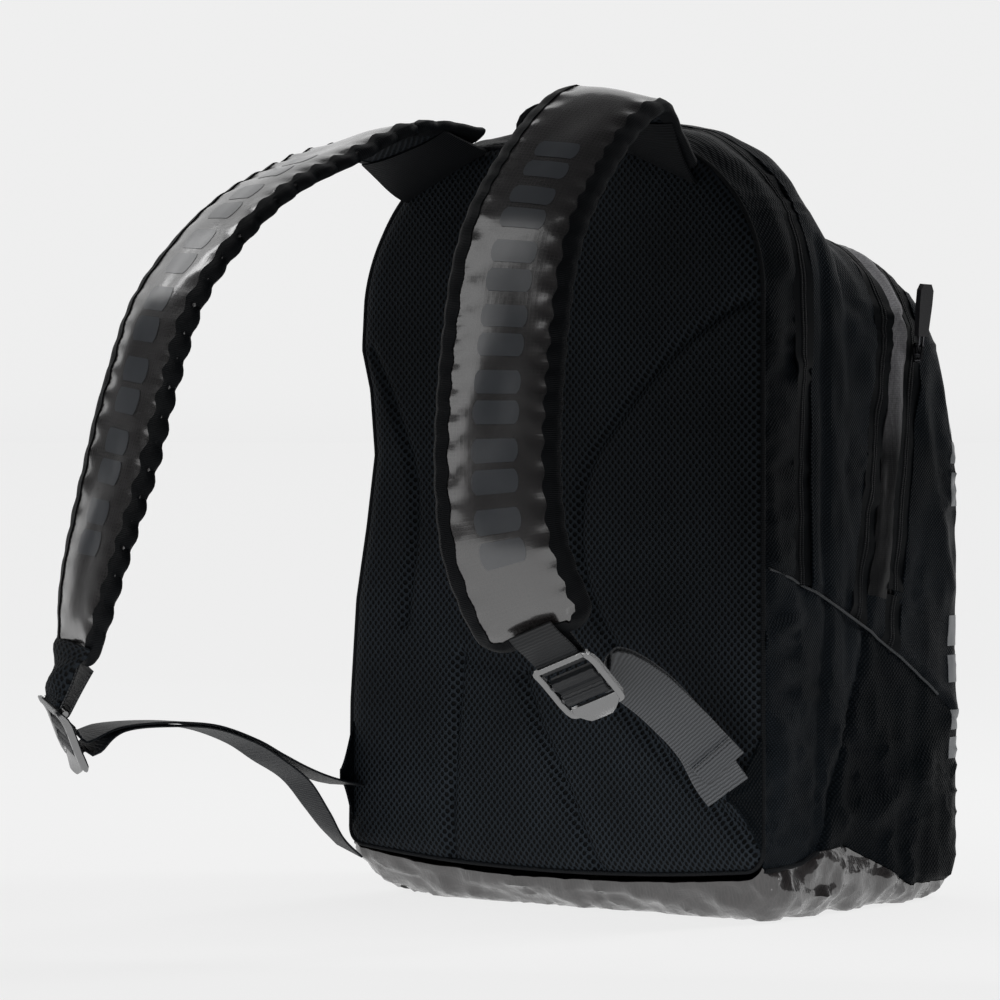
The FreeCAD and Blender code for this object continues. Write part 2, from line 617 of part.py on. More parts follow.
def make_webbings(name, lock, load_start, load, load_across, tail_start, tail, tail_across):
    bar, along, across, out = lock
    side = 1.0 if across.x > 0 else -1.0
    first = tuple(across * side)

    def behind(start):
        return tuple(bar + along * start[0] - out * start[1])

    save(name + "_load_webbing", webbing([behind(load_start)] + load, [first] + load_across))
    save(name + "_webbing_tail", webbing([behind(tail_start)] + tail, [first] + tail_across))


def make_straps():
    right = make_strap("right", RIGHT_STRAP, 1, RIGHT_TWIST, RIGHT_END)
    left = make_strap("left", LEFT_STRAP, -1, LEFT_TWIST, LEFT_END)
    right_lock = make_lock("right", right, (5, 22, -22), RIGHT_TAB, (5, 22, -22))
    left_lock = make_lock("left", left, (-0.378, -0.247, -0.89), LEFT_TAB, (-0.062, 0.485, -0.87))
    make_webbings("right", right_lock, RIGHT_LOAD_START, RIGHT_LOAD, RIGHT_LOAD_ACROSS,
                  RIGHT_TAIL_START, RIGHT_TAIL, RIGHT_TAIL_ACROSS)
    make_webbings("left", left_lock, LEFT_LOAD_START, LEFT_LOAD, LEFT_LOAD_ACROSS,
                  LEFT_TAIL_START, LEFT_TAIL, LEFT_TAIL_ACROSS)


def make_wings():
    """Fabric triangles that carry the adjuster webbing at the bottom corners."""
    wings = []
    for side in (-1, 1):
        corners = [V(side * 162.5, -111.6, 46), V(side * 162.5, -111.6, 113), V(side * 158.5, -146, 84)]
        wings.append(Part.Face(closed_wire(corners)).extrude(V(side * 2.0, 0, 0)))
    save("corner_wings", Part.makeCompound(wings))


def make_handle():
    """Haul loop standing on the rear gusset between the strap roots."""
    count = 13
    half_span = 36.0
    rise = 20.0
    lift = 3.0
    points = []
    widths = []
    for i in range(count):
        a = math.pi * i / (count - 1)
        points.append((-half_span * math.cos(a), -92.0, CROWN + lift + rise * math.sin(a) ** 0.7))
        widths.append(12.0 + 12.0 * math.sin(a))
    frames = ribbon_frames(points, [(0, 1, 0)] * count, widths)
    save("haul_handle", ribbon(frames, lambda h: -h, lambda h: h, -1.6, 1.6))


def main():
    os.makedirs("parts", exist_ok=True)
    shell, proud, inner = make_shell()
    make_back_panel()
    make_root_panels(shell, proud, inner)
    make_folds(shell)
    make_front_half(shell, proud, inner)
    make_flap(shell, proud)
    make_zip_ends()
    make_straps()
    make_wings()
    make_handle()


main()
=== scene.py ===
"""Looks of the racket backpack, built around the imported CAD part.

Drawn in millimetres in the CAD's frame and written to meshes in metres: +Z up, +Y towards the
bag's front, +X to the right of someone looking at the back panel.
"""
import math

import bmesh
import bpy
import numpy as np
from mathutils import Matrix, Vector, noise


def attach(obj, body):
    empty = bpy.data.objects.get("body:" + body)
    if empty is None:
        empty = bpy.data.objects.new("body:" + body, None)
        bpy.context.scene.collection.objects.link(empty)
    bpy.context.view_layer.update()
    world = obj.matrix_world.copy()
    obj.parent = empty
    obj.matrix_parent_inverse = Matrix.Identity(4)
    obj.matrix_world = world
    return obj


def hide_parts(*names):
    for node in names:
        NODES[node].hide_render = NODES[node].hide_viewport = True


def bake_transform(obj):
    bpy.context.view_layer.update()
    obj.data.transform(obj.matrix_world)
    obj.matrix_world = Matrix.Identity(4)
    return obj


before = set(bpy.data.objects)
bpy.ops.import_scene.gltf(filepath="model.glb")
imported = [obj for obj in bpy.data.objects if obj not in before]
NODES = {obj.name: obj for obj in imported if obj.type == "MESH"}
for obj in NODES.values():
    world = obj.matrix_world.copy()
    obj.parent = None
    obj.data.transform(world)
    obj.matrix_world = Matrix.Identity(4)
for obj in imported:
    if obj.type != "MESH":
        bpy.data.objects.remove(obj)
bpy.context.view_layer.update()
MM = 0.001
PI2 = 2 * math.pi


# ---- the form of the bag, as in part.py ----
BACK_Y = -110.0
STATIONS = np.array([
    (BACK_Y, 33, 490, 163, 100, 12), (-104, 17, 491, 164, 100, 16), (-96, 6, 492, 165, 99, 20),
    (-84, 0, 494, 165, 98, 22), (-50, 0, 494, 165, 98, 22), (-36, 0, 489, 165, 97, 22),
    (-25, 0, 477, 165, 95, 22), (-19, 0, 462, 164, 92, 22), (-13, 0, 451, 163, 90, 22),
    (10, 0, 446, 163.5, 88, 22), (45, 0, 438, 164, 84, 22), (80, 0, 428, 164, 80, 22),
    (97, 0, 414, 163.5, 80, 22), (108, 0, 392, 162.5, 82, 22), (117, 2, 358, 161, 80, 24),
    (125, 8, 312, 158, 78, 26), (132, 18, 262, 150, 72, 30), (137, 45, 205, 136, 50, 35),
    (140, 80, 160, 112, 30, 30),
], float)
RING_STEP = 4.4            # spacing of the rings along the profile
SEGMENTS = (30, 9, 84, 36, 15)   # points on half a ring: floor, foot, side, shoulder, crown
CAP_RINGS = 12

MAIN_ZIP_Y = -66.0
MID_ZIP = ((-2.0, 186.0), 9.9)
FRONT_ZIP = ((36.7, 177.0), 8.2)
MAIN_OPEN = 15.2           # part.py's opening angles with their spare
FLAP_OPEN = 19.2
ZIP_HALF = 9.6             # zip tape and coil, each side of the zip's line


def seam_height(y):
    d = y - BACK_Y
    return 222.0 - 0.26 * d - 0.00083 * d * d


def turned(y, z, centre, degrees):
    a = math.radians(degrees)
    dy, dz = y - centre[0], z - centre[1]
    return centre[0] + dy * math.cos(a) - dz * math.sin(a), centre[1] + dy * math.sin(a) + dz * math.cos(a)


def line_height(ys, zs):
    return lambda y: np.interp(y, ys, zs)


edge_ys = np.linspace(-66.0, 200.0, 60)
MAIN_HINGE = (MAIN_ZIP_Y, seam_height(MAIN_ZIP_Y) + 1.0)
half_y, half_z = turned(edge_ys, seam_height(edge_ys) + 1.0, MAIN_HINGE, MAIN_OPEN)
half_edge = line_height(half_y, half_z)
FLAP_HINGE = (40.735, 205.99)
sill_ys = np.linspace(FLAP_HINGE[0], 200.0, 50)
sill_top = lambda y: half_edge(y) + 9.0
flap_y, flap_z = turned(sill_ys, sill_top(sill_ys) + 1.0, FLAP_HINGE, FLAP_OPEN)
flap_edge = line_height(flap_y, flap_z)
base_seam = line_height([-130, -75, -49, -15, 23, 59, 100, 200], [33, 33, 42, 43, 29, 13, 11, 11])


def lean(zip_line):
    """Distance in front of a leaning zip's plane."""
    (y0, z0), degrees = zip_line
    a = math.radians(degrees)
    return lambda p: (p[:, 1] - y0) * math.cos(a) - (p[:, 2] - z0) * math.sin(a)


main_front = lambda p: p[:, 1] - MAIN_ZIP_Y
mid_front = lean(MID_ZIP)
front_front = lean(FRONT_ZIP)
above_seam = lambda p: p[:, 2] - seam_height(p[:, 1])
above_base = lambda p: p[:, 2] - base_seam(p[:, 1])


def shifted(field, by):
    return lambda p: field(p) - by


def flipped(field, by=0.0):
    return lambda p: by - field(p)


def polyline_distance(py, pz, line):
    """Distance in a plane from points to a polyline."""
    best = np.full(len(py), 1e9)
    for (y0, z0), (y1, z1) in zip(line, line[1:]):
        dy, dz = y1 - y0, z1 - z0
        t = np.clip(((py - y0) * dy + (pz - z0) * dz) / (dy * dy + dz * dz), 0, 1)
        best = np.minimum(best, np.hypot(py - y0 - t * dy, pz - z0 - t * dz))
    return best


def smooth_step(value, low, high):
    t = np.clip((value - low) / (high - low), 0, 1)
    return t * t * (3 - 2 * t)


def monotone(x, y, at):
    """Monotone cubic interpolation."""
    h = np.diff(x)
    slope = np.diff(y) / h
    m = np.zeros(len(x))
    m[0], m[-1] = slope[0], slope[-1]
    for i in range(1, len(x) - 1):
        if slope[i - 1] * slope[i] > 0:
            w1, w2 = 2 * h[i] + h[i - 1], h[i] + 2 * h[i - 1]
            m[i] = (w1 + w2) / (w1 / slope[i - 1] + w2 / slope[i])
    k = np.clip(np.searchsorted(x, at) - 1, 0, len(h) - 1)
    t = (at - x[k]) / h[k]
    a, b = y[k], y[k + 1]
    return ((2 * t ** 3 - 3 * t ** 2 + 1) * a + (t ** 3 - 2 * t ** 2 + t) * h[k] * m[k]
            + (3 * t ** 2 - 2 * t ** 3) * b + (t ** 3 - t ** 2) * h[k] * m[k + 1])


def half_ring(bottom, crown, half, shoulder, foot):
    """X and Z along the right half of a tombstone, from the floor's middle to the crown's."""
    out = []

    def line(a, b, count):
        for i in range(count):
            t = i / count
            out.append((a[0] + (b[0] - a[0]) * t, a[1] + (b[1] - a[1]) * t))

    def arc(cx, cz, r, start, count):
        for i in range(count):
            a = math.radians(start + 90.0 * i / count)
            out.append((cx + r * math.cos(a), cz + r * math.sin(a)))

    line((0, bottom), (half - foot, bottom), SEGMENTS[0])
    arc(half - foot, bottom + foot, foot, -90, SEGMENTS[1])
    line((half, bottom + foot), (half, crown - shoulder), SEGMENTS[2])
    arc(half - shoulder, crown - shoulder, shoulder, 0, SEGMENTS[3])
    line((half - shoulder, crown), (0, crown), SEGMENTS[4])
    out.append((0, crown))
    return np.array(out)


def ring(values):
    right = half_ring(*values[1:])
    left = right[1:-1][::-1] * (-1, 1)
    flat = np.vstack([right, left])
    return np.column_stack([flat[:, 0], np.full(len(flat), values[0]), flat[:, 1]])


def form_grid():
    """Rings of points over the whole bag: array of ring, column, XYZ."""
    d = np.abs(np.diff(STATIONS[:, :4], axis=0))
    step = np.sqrt(d[:, 0] ** 2 + np.max(d[:, 1:], axis=1) ** 2)
    along = np.concatenate([[0], np.cumsum(step)])
    at = np.linspace(0, along[-1], int(along[-1] / RING_STEP))
    table = np.column_stack([monotone(along, STATIONS[:, k], at) for k in range(6)])
    rings = [ring(row) for row in table]
    centre = np.array([0, 142.5, 120.0])
    last = rings[-1]
    for k in range(1, CAP_RINGS):
        t = k / CAP_RINGS
        shrunk = centre + (last - centre) * (1 - t)
        shrunk[:, 1] = last[:, 1] + 2.5 * (1 - (1 - t) ** 2)
        rings.append(shrunk)
    return np.array(rings)


def grid_normals(grid):
    around = np.roll(grid, -1, axis=1) - np.roll(grid, 1, axis=1)
    along = np.gradient(grid, axis=0)
    n = np.cross(around, along)
    n /= np.linalg.norm(n, axis=2, keepdims=True) + 1e-9
    return -n if n[10, 100, 0] < 0 else n


# Lines sewn or creased into the side walls, in Y and Z.
SIDE_SEAM = [(5, 178), (-1, 155), (-9, 136), (-27, 97), (-42, 67), (-51, 44)]
BELLOWS = [(-42, 425), (-42, 224), (-39, 179), (-49, 109), (-55, 44)]
PLEAT = [(70, 336), (74, 320), (84, 288), (100, 239), (112, 205)]
FRONT_SEAM = [(5, 181), (14, 205), (21, 224), (33, 275), (35, 334), (36, 357), (46, 394), (54, 440)]
WAIST_Z = [0, 129, 196, 245, 292, 335, 362, 395, 437, 463, 494]
WAIST_X = [-6, -4, 1, 10, 17, 13, 6, 8, 12, 13, 4]
# Soft folds in the side walls: ends in Y and Z, height, half width.
FOLDS = [
    ((-109, 176), (-68, 190), 1.9, 5.0), ((-106, 166), (-78, 160), 1.5, 5.0),
    ((-109, 133), (-66, 104), 2.2, 6.0), ((-100, 118), (-60, 84), 1.2, 6.0),
    ((20, 60), (75, 92), 2.0, 9.0), ((-40, 58), (40, 66), 2.4, 9.0), ((70, 80), (112, 120), 1.6, 9.0),
    ((-22, 395), (30, 318), 1.7, 8.0), ((-38, 372), (12, 268), 1.5, 9.0), ((-36, 330), (8, 232), 1.2, 8.0),
    ((-30, 300), (-5, 200), 1.5, 7.0), ((66, 300), (100, 210), 1.6, 10.0), ((30, 350), (52, 240), 0.9, 6.0),
]


def waist(p):
    """Sideways pull of the bag's left edge near the back panel."""
    weight = smooth_step(-p[:, 0], 0, 165) * (1 - smooth_step(p[:, 1], -108, -20))
    return np.interp(p[:, 2], WAIST_Z, WAIST_X) * weight


def settle(p):
    """Dip of the back panel's lower edge between the corners, and lift of the rear left corner."""
    rear = 1 - smooth_step(p[:, 1], BACK_Y, -80)
    across = np.clip(1 - (p[:, 0] / 158.0) ** 2, 0, 1)
    dip = -8.0 * across * np.exp(-np.maximum(p[:, 2] - 33, 0) / 45.0) * rear * smooth_step(p[:, 2], 4, 26)
    corner = smooth_step(-p[:, 0], 80, 165) * (1 - smooth_step(p[:, 1], -104, -50))
    return dip + 11.0 * corner * (1 - smooth_step(p[:, 2], 6, 40))


def wrinkles(p, seed, size, stretch):
    """Smooth noise from -1 to 1, stretched along one direction."""
    out = np.empty(len(p))
    for i, q in enumerate(p / (np.array(stretch) * size)):
        out[i] = noise.noise(Vector((q[0] + seed, q[1], q[2])))
    return out * 1.6


def relief(p, n):
    """How far the fabric stands out of the plain form, in millimetres."""
    side = np.clip(np.abs(n[:, 0]) * 1.4 - 0.3, 0, 1)
    y, z = p[:, 1], p[:, 2]
    out = np.zeros(len(p))
    upper = above_seam(p) > 0
    for field, depth, width in ((main_front, 1.6, 6.0), (mid_front, 1.4, 6.5), (front_front, 1.4, 6.5)):
        out -= np.where(above_seam(p) > -4, depth * np.exp(-(field(p) / width) ** 2), 0)
    out -= 1.5 * np.exp(-(above_seam(p) / 2.6) ** 2)
    out += 1.0 * np.exp(-((above_seam(p) - 7.0) / 6.0) ** 2)
    out -= 1.8 * np.exp(-(above_base(p) / 3.0) ** 2)
    line = polyline_distance(y, z, SIDE_SEAM)
    seam = 1.9 * np.exp(-(line / 3.0) ** 2) - 0.9 * np.exp(-((line - 9) / 7.0) ** 2)
    out -= np.where(upper, 0, side * seam)
    line = polyline_distance(y, z, BELLOWS)
    out -= side * 2.4 * np.exp(-(line / 4.0) ** 2)
    line = polyline_distance(y, z, FRONT_SEAM)
    out -= side * 1.6 * np.exp(-(line / 3.0) ** 2)
    line = polyline_distance(y, z, PLEAT)
    out += side * 2.2 * np.exp(-(line / 7.0) ** 2)
    for (y0, z0), (y1, z1), height, width in FOLDS:
        line = polyline_distance(y, z, [(y0, z0), (y1, z1)])
        out += side * height * np.exp(-(line / width) ** 2)
    between = (mid_front(p) > 10) & (front_front(p) < -10)
    out += np.where(between & upper, side * 2.0 * np.exp(-((mid_front(p) - 17) / 8.0) ** 2), 0)
    out += wrinkles(p, 3.1, 34.0, (1.0, 0.55, 1.5)) * 1.3
    out += wrinkles(p, 9.7, 13.0, (1.0, 0.8, 1.4)) * 0.45
    rear = smooth_step(y, -109, -103) * (1 - smooth_step(y, -78, -70)) * (1 - smooth_step(z, 380, 430))
    out += side * rear * wrinkles(p, 21.3, 8.5, (1.0, 3.2, 1.0)) * 2.1
    crease = wrinkles(p, 14.9, 20.0, (1.0, 1.5, 0.7))
    ridge = np.maximum(0.0, 1 - np.abs(crease) * 3.0)
    out += side * (1 - rear) * 1.5 * ridge * smooth_step(wrinkles(p, 31.0, 60.0, (1, 1, 1)), -0.2, 0.5)
    top = smooth_step(z, 430, 486) * np.exp(-(p[:, 0] / 92.0) ** 2) * np.exp(-((y + 52) / 44.0) ** 2)
    out += 15.0 * top * (1 - smooth_step(y, -16, -8))
    low = z < base_seam(y)
    folds = wrinkles(p, 5.5, 22.0, (1.2, 1.2, 0.55))
    ridge = np.maximum(0.0, 1 - np.abs(wrinkles(p, 8.8, 16.0, (0.8, 0.8, 2.2))) * 2.5)
    out += np.where(low, folds * 2.2 + 2.2 * ridge, 0)
    return out


REST = form_grid()
NORMALS = grid_normals(REST)
RINGS, COLUMNS = REST.shape[:2]


TUCK_Y = -105.5            # behind this the skin turns in under the back panel's edge
TUCK_RISE = 4.5


def build_form():
    """The fabric form: the plain one with its relief, waist and sag, standing on the floor."""
    p, n = REST.reshape(-1, 3), NORMALS.reshape(-1, 3)
    tuck = 1 - smooth_step(p[:, 1], BACK_Y, TUCK_Y)
    out = p + n * (relief(p, n) * (1 - tuck))[:, None]
    out[:, 2] += np.where(p[:, 2] < 40, TUCK_RISE * tuck, 0)
    out[:, 0] += waist(p)
    out[:, 2] += settle(p)
    out[:, 2] = np.where(p[:, 2] < 1.0, np.maximum(out[:, 2], 0.15), out[:, 2])
    return out.reshape(REST.shape)


FORM = build_form()
FORM_NORMALS = grid_normals(FORM)


# ---- meshes ----
def new_object(name, points, faces, uvs=None, sharp=50.0):
    mesh = bpy.data.meshes.new(name)
    mesh.from_pydata((np.asarray(points) * MM).tolist(), [], [list(f) for f in faces])
    if uvs is not None:
        layer = mesh.uv_layers.new(name="UVMap")
        loops = np.empty(len(mesh.loops), np.int32)
        mesh.loops.foreach_get("vertex_index", loops)
        layer.data.foreach_set("uv", (np.asarray(uvs, float)[loops] * MM).astype(np.float32).ravel())
    mesh.validate()
    mesh.shade_smooth()
    mesh.set_sharp_from_angle(angle=math.radians(sharp))
    obj = bpy.data.objects.new(name, mesh)
    bpy.context.scene.collection.objects.link(obj)
    return obj


def finish_piece(obj, material, slot, where, *replaced):
    """Material, slot, body and the CAD nodes the piece stands for, which are hidden. slot is not used. where
    is a body's name, or two bodies and two points, which are not used: such a piece is only baked where it
    stands, with no body."""
    obj.data.materials.clear()
    obj.data.materials.append(material)
    if isinstance(where, str):
        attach(obj, where)
    else:
        a, b, start, end = where
        [v * MM for v in start]
        [v * MM for v in end]
        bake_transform(obj)
    if replaced:
        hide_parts(*replaced)
    return obj


def slab(front, back, faces):
    """Closed skin between two layers of the same faces."""
    count = len(front)
    edges = {}
    for f in faces:
        for a, b in zip(f, f[1:] + f[:1]):
            edges[(a, b)] = True
    walls = [[b, a, a + count, b + count] for a, b in edges if (b, a) not in edges]
    behind = [[v + count for v in reversed(f)] for f in faces]
    return np.vstack([front, back]), faces + behind + walls


def clip(data, faces, field):
    """Keeps the part of a mesh where the field, worked out at rest, is positive."""
    value = field(data[:, :3])
    value = np.where(np.abs(value) < 1e-6, 1e-6, value)
    extra, made, kept = [], {}, []

    def crossing(a, b):
        key = (min(a, b), max(a, b))
        if key not in made:
            t = value[a] / (value[a] - value[b])
            made[key] = len(data) + len(extra)
            extra.append(data[a] + (data[b] - data[a]) * t)
        return made[key]

    for f in faces:
        signs = [value[v] > 0 for v in f]
        if all(signs):
            kept.append(f)
        elif any(signs):
            out = []
            for i, v in enumerate(f):
                w = f[(i + 1) % len(f)]
                if value[v] > 0:
                    out.append(v)
                if (value[v] > 0) != (value[w] > 0):
                    out.append(crossing(v, w))
            kept.append(out)
    if extra:
        data = np.vstack([data, extra])
    return data, kept


def grid_faces(rows, columns, closed=False):
    """Quads of a grid of points, closed round its columns if asked."""
    span = columns if closed else columns - 1
    return [[r * columns + c, r * columns + (c + 1) % columns,
             (r + 1) * columns + (c + 1) % columns, (r + 1) * columns + c]
            for r in range(rows - 1) for c in range(span)]


FORM_DATA = np.hstack([REST.reshape(-1, 3), FORM.reshape(-1, 3), FORM_NORMALS.reshape(-1, 3)])
FORM_FACES = grid_faces(RINGS, COLUMNS, True) + [list(range((RINGS - 1) * COLUMNS, RINGS * COLUMNS))]
WALL = 1.8                 # thickness of the visible shell


def compact(data, faces):
    """Drops the points that no face uses."""
    used = sorted({v for f in faces for v in f})
    index = {v: i for i, v in enumerate(used)}
    return data[used], [[index[v] for v in f] for f in faces]


def panel(name, fields, proud=0.0, wall=WALL):
    """Part of the bag's skin where every field is positive."""
    data, faces = FORM_DATA, FORM_FACES
    for field in fields:
        data, faces = clip(data, faces, field)
        data, faces = compact(data, faces)
    front = data[:, 3:6] + data[:, 6:9] * proud
    back = data[:, 3:6] + data[:, 6:9] * (proud - wall)
    points, faces = slab(front, back, faces)
    return new_object(name, points, faces)


def form_curve(field, keep):
    """Points and normals where a field crosses zero on the form, in order round the bag."""
    flat = REST.reshape(-1, 3)
    value = field(flat).reshape(RINGS, COLUMNS)
    found = []
    for c in range(COLUMNS):
        v = value[:, c]
        hits = np.nonzero((v[:-1] > 0) != (v[1:] > 0))[0]
        row = None
        if len(hits):
            k = hits[0]
            t = v[k] / (v[k] - v[k + 1])
            at = REST[k, c] * (1 - t) + REST[k + 1, c] * t
            if keep(at):
                pos = FORM[k, c] * (1 - t) + FORM[k + 1, c] * t
                nrm = FORM_NORMALS[k, c] * (1 - t) + FORM_NORMALS[k + 1, c] * t
                row = (pos, nrm)
        found.append(row)
    start = next((i for i in range(COLUMNS) if found[i - 1] is None and found[i]), 0)
    run = [found[(start + i) % COLUMNS] for i in range(COLUMNS)]
    run = [r for r in run if r]
    return np.array([r[0] for r in run]), np.array([r[1] for r in run])


def unit(a):
    return a / (np.linalg.norm(a, axis=-1, keepdims=True) + 1e-12)


def catmull(points, step):
    """Evenly spaced points on a smooth curve through the given ones (any number of columns)."""
    p = np.asarray(points, float)
    ext = np.vstack([2 * p[0] - p[1], p, 2 * p[-1] - p[-2]])
    dense = []
    for i in range(1, len(ext) - 2):
        a, b, c, d = ext[i - 1:i + 3]
        for t in np.linspace(0, 1, 24, endpoint=False):
            dense.append(0.5 * (2 * b + (c - a) * t + (2 * a - 5 * b + 4 * c - d) * t * t
                                + (3 * b - a - 3 * c + d) * t ** 3))
    dense.append(p[-1])
    dense = np.array(dense)
    length = np.concatenate([[0], np.cumsum(np.linalg.norm(np.diff(dense[:, :3], axis=0), axis=1))])
    at = np.linspace(0, length[-1], max(3, int(round(length[-1] / step)) + 1))
    return np.column_stack([np.interp(at, length, dense[:, k]) for k in range(p.shape[1])]), at


def sweep(name, points, across, out, profile, at=None, caps=True, sharp=50.0):
    """Solid along a line. profile is a list of (across, out) or a function of the row giving one."""
    rows = len(points)
    if at is None:
        at = np.concatenate([[0], np.cumsum(np.linalg.norm(np.diff(points, axis=0), axis=1))])
    shape = profile if callable(profile) else (lambda i: profile)
    first = np.array(shape(0))
    k = len(first)
    verts, uvs = [], []
    for i in range(rows):
        q = np.array(shape(i))
        around = np.concatenate([[0], np.cumsum(np.linalg.norm(np.diff(q, axis=0), axis=1))])
        for j in range(k):
            verts.append(points[i] + across[i] * q[j][0] + out[i] * q[j][1])
            uvs.append((at[i], around[j]))
    faces = grid_faces(rows, k, True)
    if caps:
        faces.append(list(reversed(range(k))))
        faces.append([(rows - 1) * k + j for j in range(k)])
    obj = new_object(name, np.array(verts), faces, uvs, sharp)
    fix_normals(obj)
    return obj


def fix_normals(obj):
    bm = bmesh.new()
    bm.from_mesh(obj.data)
    bmesh.ops.recalc_face_normals(bm, faces=bm.faces)
    bm.to_mesh(obj.data)
    bm.free()


def sheet(name, front, back, faces, uvs=None):
    """Closed sheet between two layers, its faces turned outwards."""
    points, faces = slab(np.array(front), np.array(back), faces)
    obj = new_object(name, points, faces, uvs + uvs if uvs else None)
    fix_normals(obj)
    return obj


def join(name, objects):
    """One object out of several, keeping their materials' order."""
    bpy.ops.object.select_all(action="DESELECT")
    for o in objects:
        o.select_set(True)
    bpy.context.view_layer.objects.active = objects[0]
    if len(objects) > 1:
        bpy.ops.object.join()
    objects[0].name = name
    return objects[0]


# ---- materials ----
class Value:
    """A node's output, which adds and multiplies like a number."""

    def __init__(self, shader, socket):
        self.shader, self.socket = shader, socket

    def __add__(self, other):
        return self.shader.calc("ADD", self, other)

    def __sub__(self, other):
        return self.shader.calc("SUBTRACT", self, other)

    def __mul__(self, other):
        return self.shader.calc("MULTIPLY", self, other)

    def __pow__(self, other):
        return self.shader.calc("POWER", self, other)


class Shader:
    """One material's node tree. Settings are inputs of its BSDF, with _ for a space."""

    def __init__(self, name, **settings):
        self.material = bpy.data.materials.new(name)
        self.material.use_nodes = True
        self.tree = self.material.node_tree
        self.bsdf = next(n for n in self.tree.nodes if n.type == "BSDF_PRINCIPLED")
        for key, value in settings.items():
            self.bsdf.inputs[key.replace("_", " ")].default_value = value

    def node(self, kind, *links, output=0, **properties):
        n = self.tree.nodes.new(kind)
        for key, value in properties.items():
            setattr(n, key, value)
        for i, value in enumerate(links):
            self.feed(n.inputs[i], value)
        return n, Value(self, n.outputs[output])

    def feed(self, socket, value):
        if isinstance(value, Value):
            self.tree.links.new(value.socket, socket)
        elif value is not None:
            socket.default_value = value

    def calc(self, operation, *values):
        return self.node("ShaderNodeMath", *values, operation=operation)[1]

    def coords(self, kind="Object", scale=1000.0):
        """Coordinates in millimetres, or in metres at a scale of 1."""
        source = self.node("ShaderNodeTexCoord")[0].outputs[kind]
        n, out = self.node("ShaderNodeVectorMath", Value(self, source), operation="SCALE")
        n.inputs[3].default_value = scale
        return out

    def split(self, vector):
        n, _ = self.node("ShaderNodeSeparateXYZ", vector)
        return [Value(self, o) for o in n.outputs]

    def noise(self, vector, size, detail=2.0):
        n, out = self.node("ShaderNodeTexNoise")
        for key, value in (("Vector", vector), ("Scale", 1.0 / size), ("Detail", detail)):
            self.feed(n.inputs[key], value)
        return out

    def wave(self, value, period):
        """Sine from 0 to 1 with a period in the coordinate's unit."""
        return self.calc("SINE", value * (PI2 / period)) * 0.5 + 0.5

    def ramp(self, value, low, high, to_low=0.0, to_high=1.0):
        return self.node("ShaderNodeMapRange", value, low, high, to_low, to_high)[1]

    def colour(self, factor, dark, light):
        n, out = self.node("ShaderNodeMix", factor, output=2, data_type="RGBA")
        self.feed(n.inputs[6], (*dark, 1))
        self.feed(n.inputs[7], (*light, 1))
        self.feed(self.bsdf.inputs["Base Color"], out)

    def bump(self, height, depth, normal="Normal"):
        n, out = self.node("ShaderNodeBump")
        for key, value in (("Strength", 1.0), ("Distance", depth * MM), ("Height", height)):
            self.feed(n.inputs[key], value)
        self.feed(self.bsdf.inputs[normal], out)

    def finish(self, shade, dark, light, factor, rough, height, depth):
        """Colour, roughness and bump from three values."""
        self.colour(shade, dark, light)
        self.feed(self.bsdf.inputs["Roughness"], self.ramp(factor, 0.0, 1.0, *rough))
        self.bump(height, depth)
        return self.material


CLOTH_ROUGH = (0.34, 0.46)
BLACK_CLOTH = (0.0004, 0.0007, 0.0011)
BLACK_TAPE = (0.0006, 0.0008, 0.001)


def weave_material(name, dark, light, period, rough=(0.55, 0.7), spec=0.25, depth=0.12, painted_sheen_span=None):
    """Woven cloth: a small over and under pattern, with slow colour changes. The last argument, if
    given, is the stretch of height over which a painted sheen comes up: the colour is faded in with height
    there, standing in for light caught near the top."""
    s = Shader(name, Specular_IOR_Level=spec)
    p = s.coords()
    x, y, z = s.split(p)
    total = (s.wave(x, period) + s.wave(y, period) + s.wave(z, period)) * (1.0 / 3)
    blot, fine = s.noise(p, 40.0, 3.0), s.noise(p, 1.6)
    shade = (blot + fine) * s.ramp(total, 0.2, 0.9, 0.4, 0.62)
    # Painted sheen: the colour is faded in with height over the given stretch, standing in for the light
    # caught near the top.
    if painted_sheen_span:
        shade = shade * s.ramp(z, *painted_sheen_span, 0.03, 1.0)
    return s.finish(shade, dark, light, blot, rough, total + fine * 0.5, depth)


def ripstop_material(name, dark, light, cell, spec=0.03, depth=0.5):
    """Heavier cloth with a diamond basket weave in the side wall's plane."""
    s = Shader(name, Specular_IOR_Level=spec)
    p = s.coords()
    x, y, z = s.split(p)
    cellular = s.wave(y + z + x * 0.4, cell) * s.wave(y - z - x * 0.4, cell)
    fine, blot = s.noise(p, 0.9), s.noise(p, 60.0, 3.0)
    shade = s.ramp(cellular, 0.0, 0.8, 0.25, 1.0) * blot
    return s.finish(shade, dark, light, fine, CLOTH_ROUGH, cellular + fine * 0.4, depth)


def mesh_material(name, uv=False):
    """Knitted spacer mesh with staggered oval holes."""
    s = Shader(name, Specular_IOR_Level=0.08)
    p = s.coords("UV" if uv else "Object")
    x, y, z = s.split(p)
    wide, tall = 4.8, 5.4
    far = []
    for shift in (0.0, 0.5):
        du = s.calc("FRACT", x * (1.0 / wide) + shift) - 0.5
        dv = s.calc("FRACT", (y if uv else z) * (1.0 / tall) + shift) - 0.5
        far.append(s.calc("SQRT", (du * (wide * 1.2)) ** 2.0 + (dv * (tall * 0.86)) ** 2.0))
    yarn = s.ramp(s.calc("MINIMUM", *far), 0.75, 1.55)
    fibre = s.noise(p, 0.7)
    shade = yarn * (fibre * 0.6 + s.noise(p, 55.0) * 0.5)
    return s.finish(shade, (0.0002, 0.0003, 0.0004), (0.019, 0.0245, 0.031), fibre, (0.6, 0.8),
                    yarn + fibre * 0.2, 1.5)


